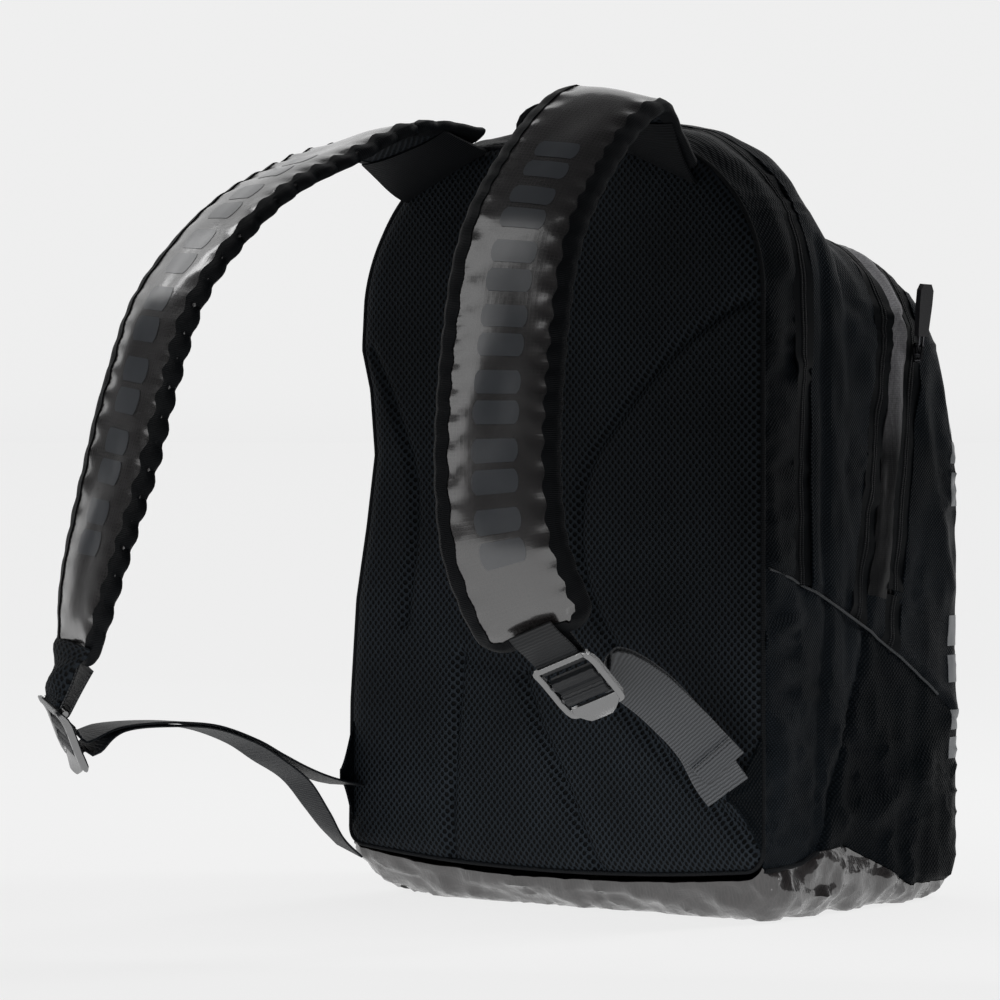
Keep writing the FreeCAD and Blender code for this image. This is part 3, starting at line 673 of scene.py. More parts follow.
def tarpaulin_material(name, uv, creases, **coat):
    """Glossy coated cloth: a ripstop grid shows through a clear skin with slow dents."""
    s = Shader(name, Coat_Weight=1.0, Specular_IOR_Level=0.4, **coat)
    p = s.coords("UV" if uv else "Object")
    a, b, c = s.split(p)
    if not uv:
        b = b + c * 0.3
    threads = s.calc("MAXIMUM", s.wave(a, 2.4) ** 6.0, s.wave(b, 2.4) ** 6.0)
    fine = s.wave(a, 0.6) * s.wave(b, 0.6)
    dents = s.noise(p, 16.0)
    s.bump(dents + threads * 0.02, creases, "Coat Normal")
    return s.finish(threads * 0.6 + fine * 0.35, (0.0060, 0.0046, 0.0046), (0.019, 0.0150, 0.0150),
                    dents, (0.3, 0.42), threads * 0.5 + fine, 0.06)


def ribbed_material(name, period, dark, light, along=True, spec=0.4, rough=(0.45, 0.6), depth=0.25):
    """Grosgrain, cord or zip: ribs across or along the UV's length."""
    s = Shader(name, Specular_IOR_Level=spec)
    p = s.coords("UV")
    u, v, _ = s.split(p)
    if not along:
        u, v = v, u
    total = s.wave(u, period) * 0.75 + s.wave(v, period * 0.55) * 0.25
    fine = s.noise(p, 0.8)
    return s.finish(total * (fine * 0.8 + 0.3), dark, light, fine, rough, total, depth)


def webbing_material(name, light, spec=0.45):
    """Polyester webbing: a fine herringbone with a satin face."""
    s = Shader(name, Specular_IOR_Level=spec)
    p = s.coords("UV")
    u, v, _ = s.split(p)
    ribs = s.wave(u + s.calc("PINGPONG", v, 3.0) * 0.12, 2.4)
    total = ribs * 0.7 + s.wave(v, 0.9) * 0.3
    fine = s.noise(p, 0.7)
    return s.finish(total * (fine * 0.8 + 0.35), (0.003, 0.004, 0.005), light, fine, (0.38, 0.5),
                    total, 0.3)


def plain_material(name, dark, light, rough, size=3.0, depth=0.05, spec=0.5, **settings):
    """Moulded plastic, rubber, metal or board: fine mottling and a slight grain."""
    s = Shader(name, Specular_IOR_Level=spec, **settings)
    p = s.coords()
    blot, grain = s.noise(p, size * 4, 3.0), s.noise(p, size * 0.2)
    return s.finish(blot, dark, light, grain * 0.5 + blot * 0.5, rough, grain, depth)


CLOTH = ripstop_material("side_cloth", BLACK_CLOTH, (0.0170, 0.0225, 0.0290), 2.6)
GUSSET = ripstop_material("gusset_cloth", BLACK_CLOTH, (0.0090, 0.0120, 0.0155), 2.6)
# Front gusset cloth: pale colour faded in with height, a painted sheen standing in for the light it catches
# near the top.
SHEEN_PAINTED_CLOTH = weave_material("satin_cloth", (0.0008, 0.0010, 0.0013), (0.3400, 0.3350, 0.3500), 1.3,
                       (0.34, 0.44), 0.06, painted_sheen_span=(290.0, 385.0))
# Heavier cloth of the lower walls and corner wings; its colour is kept well darker than the side cloth above,
# partly the cloth's own and partly painted shade on the lower walls.
HEAVY_SHADED_CLOTH = ripstop_material("heavy_cloth", (0.0004, 0.0008, 0.0011), (0.0065, 0.0092, 0.0125), 3.4, 0.02, 0.6)
MESH = mesh_material("spacer_mesh")
STRAP_MESH = mesh_material("strap_mesh", uv=True)
GLOSS = tarpaulin_material("glossy_tarpaulin", False, 2.6, Coat_Roughness=0.07, Coat_IOR=1.75)
STRAP_GLOSS = tarpaulin_material("strap_tarpaulin", True, 0.35, Coat_Roughness=0.2, Coat_IOR=2.1)
WEB = webbing_material("webbing", (0.075, 0.080, 0.088))
MID_WEB = webbing_material("shaded_webbing", (0.011, 0.0125, 0.0155), 0.1)
# Black webbing of the tabs; on the wrap round each lock's lower bars the same dark colour is painted shade in
# the lock's slots.
DARK_AND_SHADED_WEB = webbing_material("sewn_webbing", (0.0075, 0.0085, 0.0105), 0.3)
GROSGRAIN = ribbed_material("grosgrain", 1.1, BLACK_TAPE, (0.0095, 0.011, 0.0135), spec=0.08)
# Cord along each side's diagonal seam; its pale colour, much lighter than the other piping, is a painted
# highlight along the seam.
HIGHLIT_CORD = ribbed_material("seam_cord", 1.4, (0.004, 0.005, 0.006), (0.055, 0.060, 0.066), spec=0.3)
TAPE = ribbed_material("zip_tape", 0.9, BLACK_TAPE, (0.0055, 0.0068, 0.0085), False, 0.05, depth=0.08)
COIL = ribbed_material("zip_coil", 1.35, BLACK_TAPE, (0.008, 0.0095, 0.012), True, 0.1, (0.4, 0.5), 0.4)
THREAD = plain_material("thread", (0.006, 0.006, 0.007), (0.02, 0.02, 0.022), (0.5, 0.6), 0.6)
FOAM = plain_material("foam", (0.02, 0.02, 0.022), (0.05, 0.05, 0.052), (0.8, 0.9), 1.5, 0.3, 0.2)
SHEET = plain_material("stiff_sheet", (0.02, 0.02, 0.02), (0.035, 0.035, 0.035), (0.4, 0.5), 4.0)
LINING = weave_material("lining", (0.012, 0.012, 0.013), (0.035, 0.035, 0.037), 1.0, spec=0.2)
METAL = plain_material("dark_metal", (0.05, 0.05, 0.055), (0.16, 0.16, 0.17), (0.12, 0.25), 1.0, 0.02,
                       Metallic=1.0)
GRIP = plain_material("moulded_grip", (0.003, 0.003, 0.004), (0.010, 0.010, 0.012), (0.45, 0.55), 0.8,
                      spec=0.25)
BUCKLE = plain_material("moulded_buckle", (0.010, 0.011, 0.012), (0.022, 0.023, 0.025), (0.10, 0.18), 1.0,
                        spec=1.0, IOR=2.0)
PRINT = plain_material("glazed_print", (0.032, 0.036, 0.042), (0.046, 0.050, 0.058), (0.35, 0.45), 2.0,
                       spec=0.4, Coat_Weight=0.75, Coat_Roughness=0.24, Coat_IOR=2.0)
LIGHT_PRINT = plain_material("pale_print", (0.10, 0.105, 0.11), (0.16, 0.165, 0.17), (0.35, 0.45), 2.0,
                             spec=0.3)


# ---- panels of the shell ----
SIDE_BLEND = ("bag", "front_half", (0, 40, 150), (0, 66, 245))
FLAP_BLEND = ("front_half", "flap", (0, 80, 196), (0, 90, 246))
PANEL_START = ZIP_HALF - 0.4     # from a zip's line to the panels beside it
FOLD_IN = -0.1             # folds lie this far inside the panels over them
not_back = lambda p: p[:, 1] + 107.5
seam_y = lambda z: np.interp(z, [40, 67, 97, 136, 155, 178, 200], [-52, -42, -27, -9, -1, 5, 11])


def make_panels():
    """Panels of the shell, each cut from the form by the zips and seams round it."""
    half = lambda p: p[:, 2] - half_edge(p[:, 1])
    flap = lambda p: p[:, 2] - flap_edge(p[:, 1])
    sill = lambda p: p[:, 2] - sill_top(p[:, 1])
    step = lambda p: p[:, 1] + 13.0
    upper, wedge = shifted(above_seam, -0.6), flipped(half, 0.25)
    ahead, ahead_mid, ahead_front = [shifted(f, PANEL_START) for f in (main_front, mid_front, front_front)]
    rear, mid_rear, front_rear = [flipped(f, -PANEL_START) for f in (main_front, mid_front, front_front)]
    for name, material, body, node, fields in (
        ("rear_gusset_skin", GUSSET, "bag", "rear_gusset", (not_back, upper, rear)),
        ("mid_gusset_skin", CLOTH, "front_half", "mid_gusset", (ahead, half, mid_rear, flipped(step))),
        ("step_gusset_skin", CLOTH, "front_half", "step_gusset", (ahead, half, mid_rear, step)),
        ("front_gusset_skin", SHEEN_PAINTED_CLOTH, "front_half", "front_gusset", (ahead_mid, half, front_rear)),
        ("front_pocket_rim", CLOTH, "front_half", "front_pocket_floor",
         (shifted(front_front, 0.2), half, flipped(sill))),
        ("front_flap_skin", CLOTH, "flap", "front_flap", (ahead_front, flap)),
    ):
        finish_piece(panel(name, fields), material, "fabric", body, node)
    piece = panel("flap_fold", [ahead_front, sill, flipped(flap, 0.25)], FOLD_IN)
    finish_piece(piece, CLOTH, "fabric", FLAP_BLEND, "fold_gusset_upper")
    folds = [panel("fold", fields, FOLD_IN) for fields in (
        (ahead, upper, wedge, mid_rear), (ahead_mid, upper, wedge, front_rear), (ahead_front, upper, wedge))]
    finish_piece(join("fold_gusset_skin", folds), CLOTH, "fabric", SIDE_BLEND, "fold_gusset_lower")

    corner = lambda p: p[:, 1] - 112.0
    below = flipped(above_seam, -0.6)
    base_top = lambda p: p[:, 2] - base_seam(p[:, 1]) - 0.4
    ahead_seam = lambda p: p[:, 1] - seam_y(p[:, 2])
    for name, side in (("left", lambda p: -p[:, 0]), ("right", lambda p: p[:, 0])):
        for end, material, fields in (("rear", CLOTH, (not_back, side, below, base_top, flipped(ahead_seam))),
                                      ("front", HEAVY_SHADED_CLOTH, (side, below, base_top, ahead_seam, flipped(corner)))):
            piece = panel("lower_side_%s_%s" % (name, end), fields)
            finish_piece(piece, material, "weave", "bag", "lower_side_%s" % name)
    piece = panel("lower_front_skin", [corner, below, base_top])
    finish_piece(piece, HEAVY_SHADED_CLOTH, "weave", "bag", "lower_front_panel")
    piece = panel("base_skin", [not_back, lambda p: base_seam(p[:, 1]) - 0.2 - p[:, 2]])
    finish_piece(piece, GLOSS, "tarpaulin", "bag", "base_panel")


# ---- zips ----
def strip_frame(points, normals):
    tangent = unit(np.gradient(points, axis=0))
    across = unit(np.cross(tangent, normals))
    return across, unit(np.cross(across, tangent))


# Half of a zip's tape, with a rounded lip over the teeth, and half of its coil: across and out.
TAPE_SHAPE = [(9.9, 0.1), (9.6, 0.6), (3.0, 0.6), (2.6, 0.0), (9.4, -1.0)]
COIL_SHAPE = [(2.7, 0.0), (2.5, 0.7), (1.8, 1.1), (0.8, 1.1), (0.22, 0.6), (0.22, -0.6), (2.5, -0.6)]
RUN_ON = 1.1               # a zip's run goes on past its ends by this many of its last steps


def make_zip(name, field, top, foot, rear_body, front_body):
    """One zip's tapes and coils: top is the part above the fold, foot the part that folds."""
    for part, keep in (("", top), ("_foot", foot)):
        points, normals = form_curve(field, keep)
        if len(points) < 3:
            continue
        runs = [(points, normals)]
        if part:
            middle = int(np.argmax(np.linalg.norm(np.diff(points, axis=0), axis=1))) + 1
            runs = [(points[:middle], normals[:middle]), (points[middle:], normals[middle:])]
        runs = [(np.vstack([q[0] * (1 + RUN_ON) - q[1] * RUN_ON, q, q[-1] * (1 + RUN_ON) - q[-2] * RUN_ON]),
                 np.vstack([m[:1], m, m[-1:]])) for q, m in runs]
        for half, sign, body in (("rear", -1, rear_body), ("front", 1, front_body)):
            for kind, material, shape in (("tape", TAPE, TAPE_SHAPE), ("coil", COIL, COIL_SHAPE)):
                made = []
                for pts, nrm in runs:
                    across, out = strip_frame(pts, nrm)
                    if np.mean(across[:, 1]) < 0:
                        across = -across
                    made.append(sweep("zip", pts, across, out, [(sign * a, b) for a, b in shape]))
                own = "%s_zip_%s_%s" % (name, kind, half)
                obj = join(own + part, made)
                node = {"tape": "mid_zip_tapes", "coil": "mid_zip_coil"}[kind] if name == "mid" else own
                if part:
                    finish_piece(obj, material, "zip_" + kind, SIDE_BLEND)
                else:
                    finish_piece(obj, material, "zip_" + kind, body, node)


def make_zips():
    on_half = lambda q: q[2] > half_edge(q[1]) + 0.2
    in_fold = lambda q: seam_height(q[1]) + 0.4 < q[2] <= half_edge(q[1]) + 2.5
    whole = lambda q: q[2] > seam_height(q[1]) + 0.6
    make_zip("main", main_front, whole, lambda q: False, "bag", "front_half")
    make_zip("mid", mid_front, on_half, in_fold, "front_half", "front_half")
    make_zip("front", front_front, lambda q: q[2] > FLAP_HINGE[1] + 2, in_fold, "front_half", "flap")


def round_profile(radius, height, count=10):
    turn = [PI2 * k / count for k in range(count)]
    return [(radius * math.cos(a), height + radius * math.sin(a)) for a in turn]


def make_pipings():
    """Piping over the base and a cord along each side's diagonal seam."""
    points, normals = form_curve(above_base, lambda q: q[1] > -106)
    across, out = strip_frame(points, normals)
    piece = sweep("base_piping_cord", points, across, out, round_profile(1.7, 0.6))
    finish_piece(piece, GROSGRAIN, "piping", "bag", "base_piping")
    made = []
    for half in (-1, 1):
        points, normals = form_curve(above_seam, lambda q, half=half: q[0] * half > 150 and q[1] > -108)
        across, out = strip_frame(points, normals)
        made.append(sweep("cord", points, across, out, round_profile(0.95, 0.9, 8)))
    # The seam cord's pale material is a painted highlight along the seam.
    finish_piece(join("side_seam_cord", made), HIGHLIT_CORD, "piping", "bag")


# ---- back panel ----
# Channels sewn into the pad: points in X and Z, depth, half width.
GROOVES = [
    ([(155, 386), (136, 378), (113, 365), (95, 352), (78, 337), (56, 313), (42, 298), (34, 285), (28, 270),
      (26, 256), (25, 240), (26, 228), (30, 210), (38, 192), (52, 171)], 4.4, 3.4),
    ([(-153, 361), (-145, 338), (-137, 315), (-128, 292), (-120, 271), (-117, 250), (-116, 227),
      (-117, 182)], 4.0, 3.4),
    ([(-70, 161), (-73, 110), (-78, 29)], 5.4, 3.6),
    ([(-20, 151), (-7, 120), (5, 100), (16, 81), (41, 29)], 5.4, 3.6),
    ([(52, 139), (90, 107), (130, 75), (167, 43)], 5.8, 4.2), ([(-70, 161), (-20, 151), (52, 171)], 1.4, 4.6),
]
PANEL_BACK = -99.0         # Y of the foam's far face


def tombstone_inset(x, z, station, inset):
    """Distance inside a station's outline."""
    _, bottom, crown, half, shoulder, foot = station
    x = np.abs(x)
    d = np.minimum(np.minimum(half - x, crown - z), z - bottom)
    for radius, cz, way in ((shoulder, crown - shoulder, 1), (foot, bottom + foot, -1)):
        cx = half - radius
        d = np.where((x > cx) & (way * (z - cz) > 0), radius - np.hypot(x - cx, z - cz), d)
    return d - inset


def panel_height(x, z):
    """How far the padded back panel stands out behind its sewn edge."""
    edge = tombstone_inset(x, z, STATIONS[0], 1.0)
    out = 6.0 * (1 - np.exp(-np.maximum(edge, 0) / 5.0))
    for line, depth, width in GROOVES:
        out -= depth * np.exp(-(polyline_distance(x, z, line) / width) ** 2)
    pad = np.exp(-((z - 90) / 60.0) ** 2) * 2.0
    return out + pad * smooth_step(edge, 0, 30)


def plate_piece(name, inset, front, back, step=3.2):
    """Flat layer of the back panel between front(x, z) and the plane Y = back, cut to its outline."""
    xs = np.arange(-166, 166.1, step)
    zs = np.arange(30, 492.1, step)
    gx, gz = np.meshgrid(xs, zs)
    flat = np.column_stack([gx.ravel(), np.zeros(gx.size), gz.ravel()])
    faces = grid_faces(len(zs), len(xs))
    data, faces = clip(flat, faces, lambda p: tombstone_inset(p[:, 0], p[:, 2], STATIONS[0], inset))
    data, faces = compact(data, faces)
    x, z = data[:, 0], data[:, 2]
    at_back = np.column_stack([x, np.full(len(x), BACK_Y), z])
    moved = x + waist(at_back)
    outer = np.column_stack([moved, front(x, z), z])
    inner = np.column_stack([moved, np.full(len(x), float(back)), z])
    drop = settle(at_back)
    outer[:, 2] += drop
    inner[:, 2] += drop
    return sheet(name, outer, inner, faces)


def make_back_panel():
    """Mesh pad, foam, stiff board and the piping round them."""
    piece = plate_piece("back_panel_pad", 0.8, lambda x, z: BACK_Y + 1.2 - panel_height(x, z), -107.6)
    finish_piece(piece, MESH, "mesh", "bag", "back_panel_mesh")
    piece = plate_piece("back_panel_core", 5.0, lambda x, z: np.full(len(x), -107.0), PANEL_BACK, 12.0)
    finish_piece(piece, FOAM, "foam", "bag", "back_panel_foam")
    piece = plate_piece("frame_sheet_board", 7.0, lambda x, z: np.full(len(x), -98.9), -97.4, 12.0)
    finish_piece(piece, SHEET, "sheet", "bag", "frame_sheet")
    outline = ring(STATIONS[0])
    closed = np.vstack([outline, outline[:1]])
    moved, drop = waist(closed), settle(closed)
    closed[:, 0] += moved
    closed[:, 2] += drop
    closed[:, 1] += 1.6
    nrm = np.tile([0.0, -1.0, 0.0], (len(closed), 1))
    tangent = unit(np.roll(closed[:-1], -1, axis=0) - np.roll(closed[:-1], 1, axis=0))
    tangent = np.vstack([tangent, tangent[:1]])
    across = unit(np.cross(tangent, nrm))
    piece = sweep("back_panel_piping_cord", closed, across, nrm, round_profile(1.5, 0.2, 12), caps=False)
    finish_piece(piece, GROSGRAIN, "piping", "bag", "back_panel_piping")


# ---- straps ----
RIGHT_STRAP = [
    (86, -119, 484), (88, -142, 497), (92, -169, 507), (95, -211, 483), (100, -257, 440),
    (104, -281, 404), (108, -296, 362), (112, -307, 320), (116, -314, 279), (121, -315, 239),
    (126, -308, 212), (130, -298, 192), (132, -290, 181),
]
LEFT_STRAP = [
    (-86, -119, 484), (-87, -145, 491), (-89, -180, 491), (-95, -223, 476), (-105, -268, 455),
    (-114, -304, 426), (-125, -334, 385), (-135, -349, 332), (-144, -356, 286), (-152, -364, 244),
    (-158, -371, 205), (-162, -373, 178), (-164, -372, 163),
]
STRAP_WIDTH = 74.0
ROOT_TILT = 26.0           # degrees that a strap leans at its sewn root
END_RADIUS = 12.0          # round corners at a strap's padded end
PUCKER_PITCH = 17.0        # spacing of the gathers along a strap's binding


def pucker_wave(s, right):
    """Rise and fall of the gathers along a strap's edge, from -1 to 1."""
    return math.sin(PI2 * s / PUCKER_PITCH + 1.3 * math.sin(s / 23.0) + (2.0 if right else 0.0))


class Strap:
    """Centre line, directions and half width along a padded strap, with round end corners."""

    def __init__(self, name, points, side, twists, end, scallop):
        self.name, self.side, self.scallop = name, side, scallop
        rows = []
        count = len(points)
        widths = [STRAP_WIDTH] * count
        widths[0] *= 1.08
        widths[-3:] = [STRAP_WIDTH * k for k in end]
        for i, p in enumerate(points):
            k = min(i / 3.0, 1.0)
            near_end = max(i - (count - 5), 0) / 4.0
            tilt = math.radians(ROOT_TILT * (1 - k))
            twist = math.radians((twists[0] + (twists[1] - twists[0]) * near_end) * k)
            w = (math.cos(tilt) * math.cos(twist), side * math.sin(twist), -side * math.sin(tilt))
            rows.append((*p, *w, widths[i] / 2))
        data, at = catmull(rows, 3.0)
        self.length = at[-1]
        turn = np.linspace(0, PI2 / 4, 9)
        body = np.arange(0, self.length - END_RADIUS - 1.0, 3.0)
        self.rows = np.concatenate([body, self.length - END_RADIUS + END_RADIUS * np.sin(turn)])
        self.corner = np.concatenate([np.zeros(len(body)), turn])
        t = unit(np.gradient(data[:, :3], axis=0))
        w = unit(data[:, 3:6] - t * np.sum(data[:, 3:6] * t, axis=1, keepdims=True))
        self.at = at
        self.table = np.hstack([data[:, :3], w, np.cross(t, w), t, data[:, 6:7]])

    def frame(self, s):
        row = np.array([np.interp(s, self.at, column) for column in self.table.T])
        return row[:3], row[3:6], row[6:9], row[9:12], row[12]

    def half(self, s):
        """Half width, narrowing round the end's corners."""
        h = np.interp(s, self.at, self.table[:, 12])
        past = max(s - (self.length - END_RADIUS), 0.0)
        return h - END_RADIUS + math.sqrt(max(END_RADIUS ** 2 - past ** 2, 0.0))

    def edge(self, s, a):
        """Distance in from the rim, and how near the rim that is, from 0 to 1."""
        edge = max(min(self.half(s) - abs(a), self.length - s), 0.0)
        return edge, max(1 - edge / np.interp(s, self.at, self.table[:, 12]), 0.0)

    def cover(self, s, a):
        """Height of the cover over the centre line."""
        edge, near = self.edge(s, a)
        wobble = 0.5 + 0.5 * math.sin(s / 37.0 + self.side)
        gathers = 0.95 * (0.5 + 0.7 * wobble) * pucker_wave(s, a > 0) * math.exp(-((edge - 9.0) / 6.5) ** 2)
        dent = noise.noise(Vector((s / 42.0, a / 26.0, 4.0 * self.side)))
        patch = math.exp(-((self.length - s - 4.0) / 14.0) ** 2) * math.exp(-(a / 19.0) ** 4)
        return 2.4 + 4.4 * (1 - near ** 3.2) + gathers + 1.5 * dent * min(edge / 12.0, 1.0) - 2.2 * patch

    def under(self, s, a):
        """Height of the lining, below the centre line."""
        return -(1.8 + 3.6 * (1 - self.edge(s, a)[1] ** 3.0))

    def point(self, s, a, height):
        p, w, n, *_ = self.frame(s)
        return p + w * a + n * height

    def layer(self, name, upper, lower, inset, columns):
        """Padded layer between two height functions."""
        top, low, uvs = [], [], []
        rows = self.rows * (self.length - inset) / self.length
        for s in rows:
            p, w, n, *_ = self.frame(s)
            h = self.half(s / (self.length - inset) * self.length) - inset
            for j in range(columns + 1):
                a = h * (2 * j / columns - 1)
                top.append(p + w * a + n * upper(s, a))
                low.append(p + w * a + n * lower(s, a))
                uvs.append((s, a))
        return sheet(name, top, low, grid_faces(len(rows), columns + 1), uvs)


def strap_binding(strap, name):
    """Folded binding down one long edge, round the end and up the other."""
    stops = [(s, strap.half(s), c) for s, c in zip(strap.rows, strap.corner)]
    flat = stops[-1][1]
    path = [(s, a, c) for s, a, c in stops]
    path += [(strap.length, a, PI2 / 4) for a in np.linspace(flat, -flat, 18)[1:-1]]
    path += [(s, -a, PI2 / 2 - c) for s, a, c in reversed(stops)]
    points, outward, normal, shapes = [], [], [], []
    for s, a, c in path:
        p, w, n, t, _ = strap.frame(s)
        out = (math.cos(c), math.sin(c))
        d = w * out[0] + t * out[1]
        wide = 9.5 if abs(c - PI2 / 4) < 0.01 else 8.8 + 0.9 * pucker_wave(s, a > 0)

        def over(inset, s=s, a=a, out=out):
            return strap.cover(s - out[1] * inset, a - out[0] * inset)

        def below(inset, s=s, a=a, out=out):
            return strap.under(s - out[1] * inset, a - out[0] * inset)

        phase = math.pi * s / PUCKER_PITCH + (2.0 if a > 0 else 0.0)
        fold = strap.scallop[0 if a < 0 else 1] * (abs(math.sin(phase)) - 0.5)
        fold *= smooth_step(s, 10, 60) * (1 - smooth_step(s, strap.length - 30, strap.length - 12))
        mid = wide * 0.45
        shapes.append([
            (-wide, over(wide) - 0.3), (0.5 - wide, over(wide) + 0.75), (-mid, over(mid) + 0.9),
            (fold - 1.0, over(1.0) + 0.6), (fold + 0.9, 1.0), (fold + 1.1, 0.0), (fold + 0.6, -1.4),
            (fold - 1.2, below(1.2) - 0.6), (-mid, below(mid) - 0.8),
            (0.8 - wide, below(wide) - 0.6), (-wide, below(wide) + 0.4)])
        points.append(p + w * a)
        outward.append(d)
        normal.append(n)
    return sweep(name, np.array(points), np.array(outward), np.array(normal), lambda i: shapes[i])


def make_strap(strap):
    """Cover, foam, lining and binding of one strap."""
    body = strap.name + "_strap"
    cover = strap.layer(body + "_shell", strap.cover, lambda s, a: strap.cover(s, a) - 1.2, 2.0, 34)
    finish_piece(cover, STRAP_GLOSS, "tarpaulin", body, body + "_cover")
    core = strap.layer(body + "_core", lambda s, a: strap.cover(s, a) - 1.3,
                       lambda s, a: strap.under(s, a) + 1.2, 3.0, 14)
    finish_piece(core, FOAM, "foam", body, body + "_foam")
    lining = strap.layer(body + "_inner_mesh", lambda s, a: strap.under(s, a) + 1.1, strap.under, 2.0, 20)
    finish_piece(lining, STRAP_MESH, "mesh", body, body + "_lining")
    binding = strap_binding(strap, body + "_edging")
    finish_piece(binding, GROSGRAIN, "piping", body, body + "_binding")


def make_marks(strap, first, pitch, count, length, width):
    """Row of plain rounded bars printed along a strap, each in two halves."""
    rows, columns, gap = 7, 13, 2.0
    reach = length * 0.5 - gap
    verts, faces = [], []
    for start in [first + pitch * k + half * (reach + 2 * gap) for k in range(count) for half in (0, 1)]:
        faces += [[v + len(verts) for v in f] for f in grid_faces(rows, columns)]
        for r in range(rows):
            s = start + reach * r / (rows - 1)
            trim = 3.0 * (1 - math.sqrt(1 - (2.0 * r / (rows - 1) - 1) ** 2 * 0.96))
            for c in range(columns):
                a = (width / 2 - trim) * (2 * c / (columns - 1) - 1)
                verts.append(strap.point(s, a, strap.cover(s, a) + 0.22))
    obj = new_object(strap.name + "_strap_print", verts, faces)
    fix_normals(obj)
    outward = Vector(strap.frame(strap.length / 2)[2])
    if sum(p.normal.dot(outward) for p in obj.data.polygons) < 0:
        obj.data.flip_normals()
    finish_piece(obj, PRINT, "tarpaulin", strap.name + "_strap")


RIGHT = Strap("right", RIGHT_STRAP, 1, (24.0, 24.0), (1.0, 1.0, 0.9), (0.8, 1.2))
LEFT = Strap("left", LEFT_STRAP, -1, (12.0, 26.0), (0.95, 0.8, 0.62), (1.2, 5.0))


# ---- locks and webbing ----
class Place:
    """Lock frame: X down from the top bar, Y across, Z outwards."""

    def __init__(self, bar, along, out):
        self.o = np.array(bar)
        self.x = unit(np.array(along))
        self.z = unit(np.array(out) - self.x * np.dot(out, self.x))
        self.y = np.cross(self.z, self.x)

    def __call__(self, pts):
        pts = np.asarray(pts, float)
        return self.o + pts[:, :1] * self.x + pts[:, 1:2] * self.y + pts[:, 2:3] * self.z


RIGHT_LOCK = Place((135.221, -275.828, 166.828), (0.1587, 0.6981, -0.6981), (0.3671, -0.6981, -0.6147))
LEFT_LOCK = Place((-175.855, -379.747, 135.087), (-0.0014, 0.4545, -0.8907), (-0.5169, -0.7629, -0.3884))
LEFT_TAB = Place((-175.855, -379.747, 135.087), (-0.3788, -0.2475, -0.8918), (-0.351, -0.852, 0.386))


def lock_part(xs, ys, zs, across, shape, sharp=35):
    """One moulded member in the lock's own frame."""
    points = np.column_stack(np.broadcast_arrays(xs, ys, zs)).astype(float)
    rows = len(points)
    across, out = np.tile(across, (rows, 1)), np.tile([0, 0, 1.0], (rows, 1))
    return sweep("part", points, across, out, shape, sharp=sharp)


def lock_bar(x, half_length, profile):
    """Bar across the lock with the given X-Z profile, ribbed along its length."""
    def shape(i):
        rib = 0.35 if i % 2 and 2 < i < 22 else 0.0
        return [(a, b + (rib if b > 0.5 else 0)) for a, b in profile]

    return lock_part(x, np.linspace(-half_length, half_length, 25), 0.0, [1.0, 0, 0], shape)


# Stations down a lock's rail: X, Y, Z, half height. Those of its thumb tab: X, Z, half width.
RAIL = np.array([
    (-4.6, 14.9, 4.6, 0.8), (-3.4, 16.6, 4.5, 1.4), (-1.0, 17.5, 3.6, 2.0), (3.0, 18.0, 1.9, 2.4),
    (8, 18.2, 1.0, 2.5), (14, 18.2, 0.9, 2.5), (26, 18.2, 0.8, 2.5), (33, 18.0, 0.3, 2.5),
    (37.5, 17.2, -0.2, 2.2), (40.0, 15.6, -0.4, 1.4), (41.2, 14.4, -0.5, 0.5),
])
THUMB = np.array([(32.8, 0.9, 16.6), (34.0, 1.4, 16.8), (36.5, 1.8, 16.2), (39.5, 2.4, 13.6),
                  (42.0, 3.4, 10.4), (43.6, 4.2, 7.5)])


LOWER_BARS = (14.2, 25.0)  # X of the two bars that the webbing goes round


def lock_rail(sign):
    def shape(i):
        k = RAIL[i, 3]
        return [(2.0, -k * 0.6), (2.0, k * 0.75), (1.5, k), (-1.5, k), (-2.0, k * 0.75), (-2.0, -k * 0.6),
                (-1.0, -k), (1.0, -k)]

    return lock_part(RAIL[:, 0], sign * RAIL[:, 1], RAIL[:, 2], [0, 1.0, 0], shape)


def lock_thumb():
    """Curved lip and thumb tab at the lock's lower end."""
    def shape(i):
        ys = np.linspace(-THUMB[i, 2], THUMB[i, 2], 9)
        top = [(y, 1.15 + 0.5 * (1 - (y / THUMB[i, 2]) ** 2)) for y in ys]
        return top + [(y, -0.9) for y in ys[::-1]]

    return lock_part(THUMB[:, 0], 0.0, THUMB[:, 1] - 1.2, [0, 1.0, 0], shape, 40)


def make_lock(name, place):
    flat = [(-2.2, -1.5), (-2.2, 0.9), (-1.5, 1.9), (1.5, 1.9), (2.2, 0.9), (2.2, -1.5)]
    upper = [(-1.6, 5.1), (-1.6, 5.9), (-1.0, 6.3), (1.4, 6.3), (2.0, 5.9), (2.0, 5.1)]
    parts = [lock_rail(-1), lock_rail(1), lock_bar(0.0, 17.0, round_profile(2.0, 0.0, 14)),
             lock_bar(-3.6, 16.4, upper)]
    parts += [lock_bar(x, 17.0, flat) for x in LOWER_BARS] + [lock_thumb()]
    obj = join(name + "_lock_body", parts)
    co = np.array([v.co for v in obj.data.vertices]) / MM
    obj.data.vertices.foreach_set("co", (place(co) * MM).astype(np.float32).ravel())
    obj.data.update()
    fix_normals(obj)
    finish_piece(obj, BUCKLE, "buckle", name + "_lock", name + "_ladder_lock")


WEB_WIDTH = 30.0


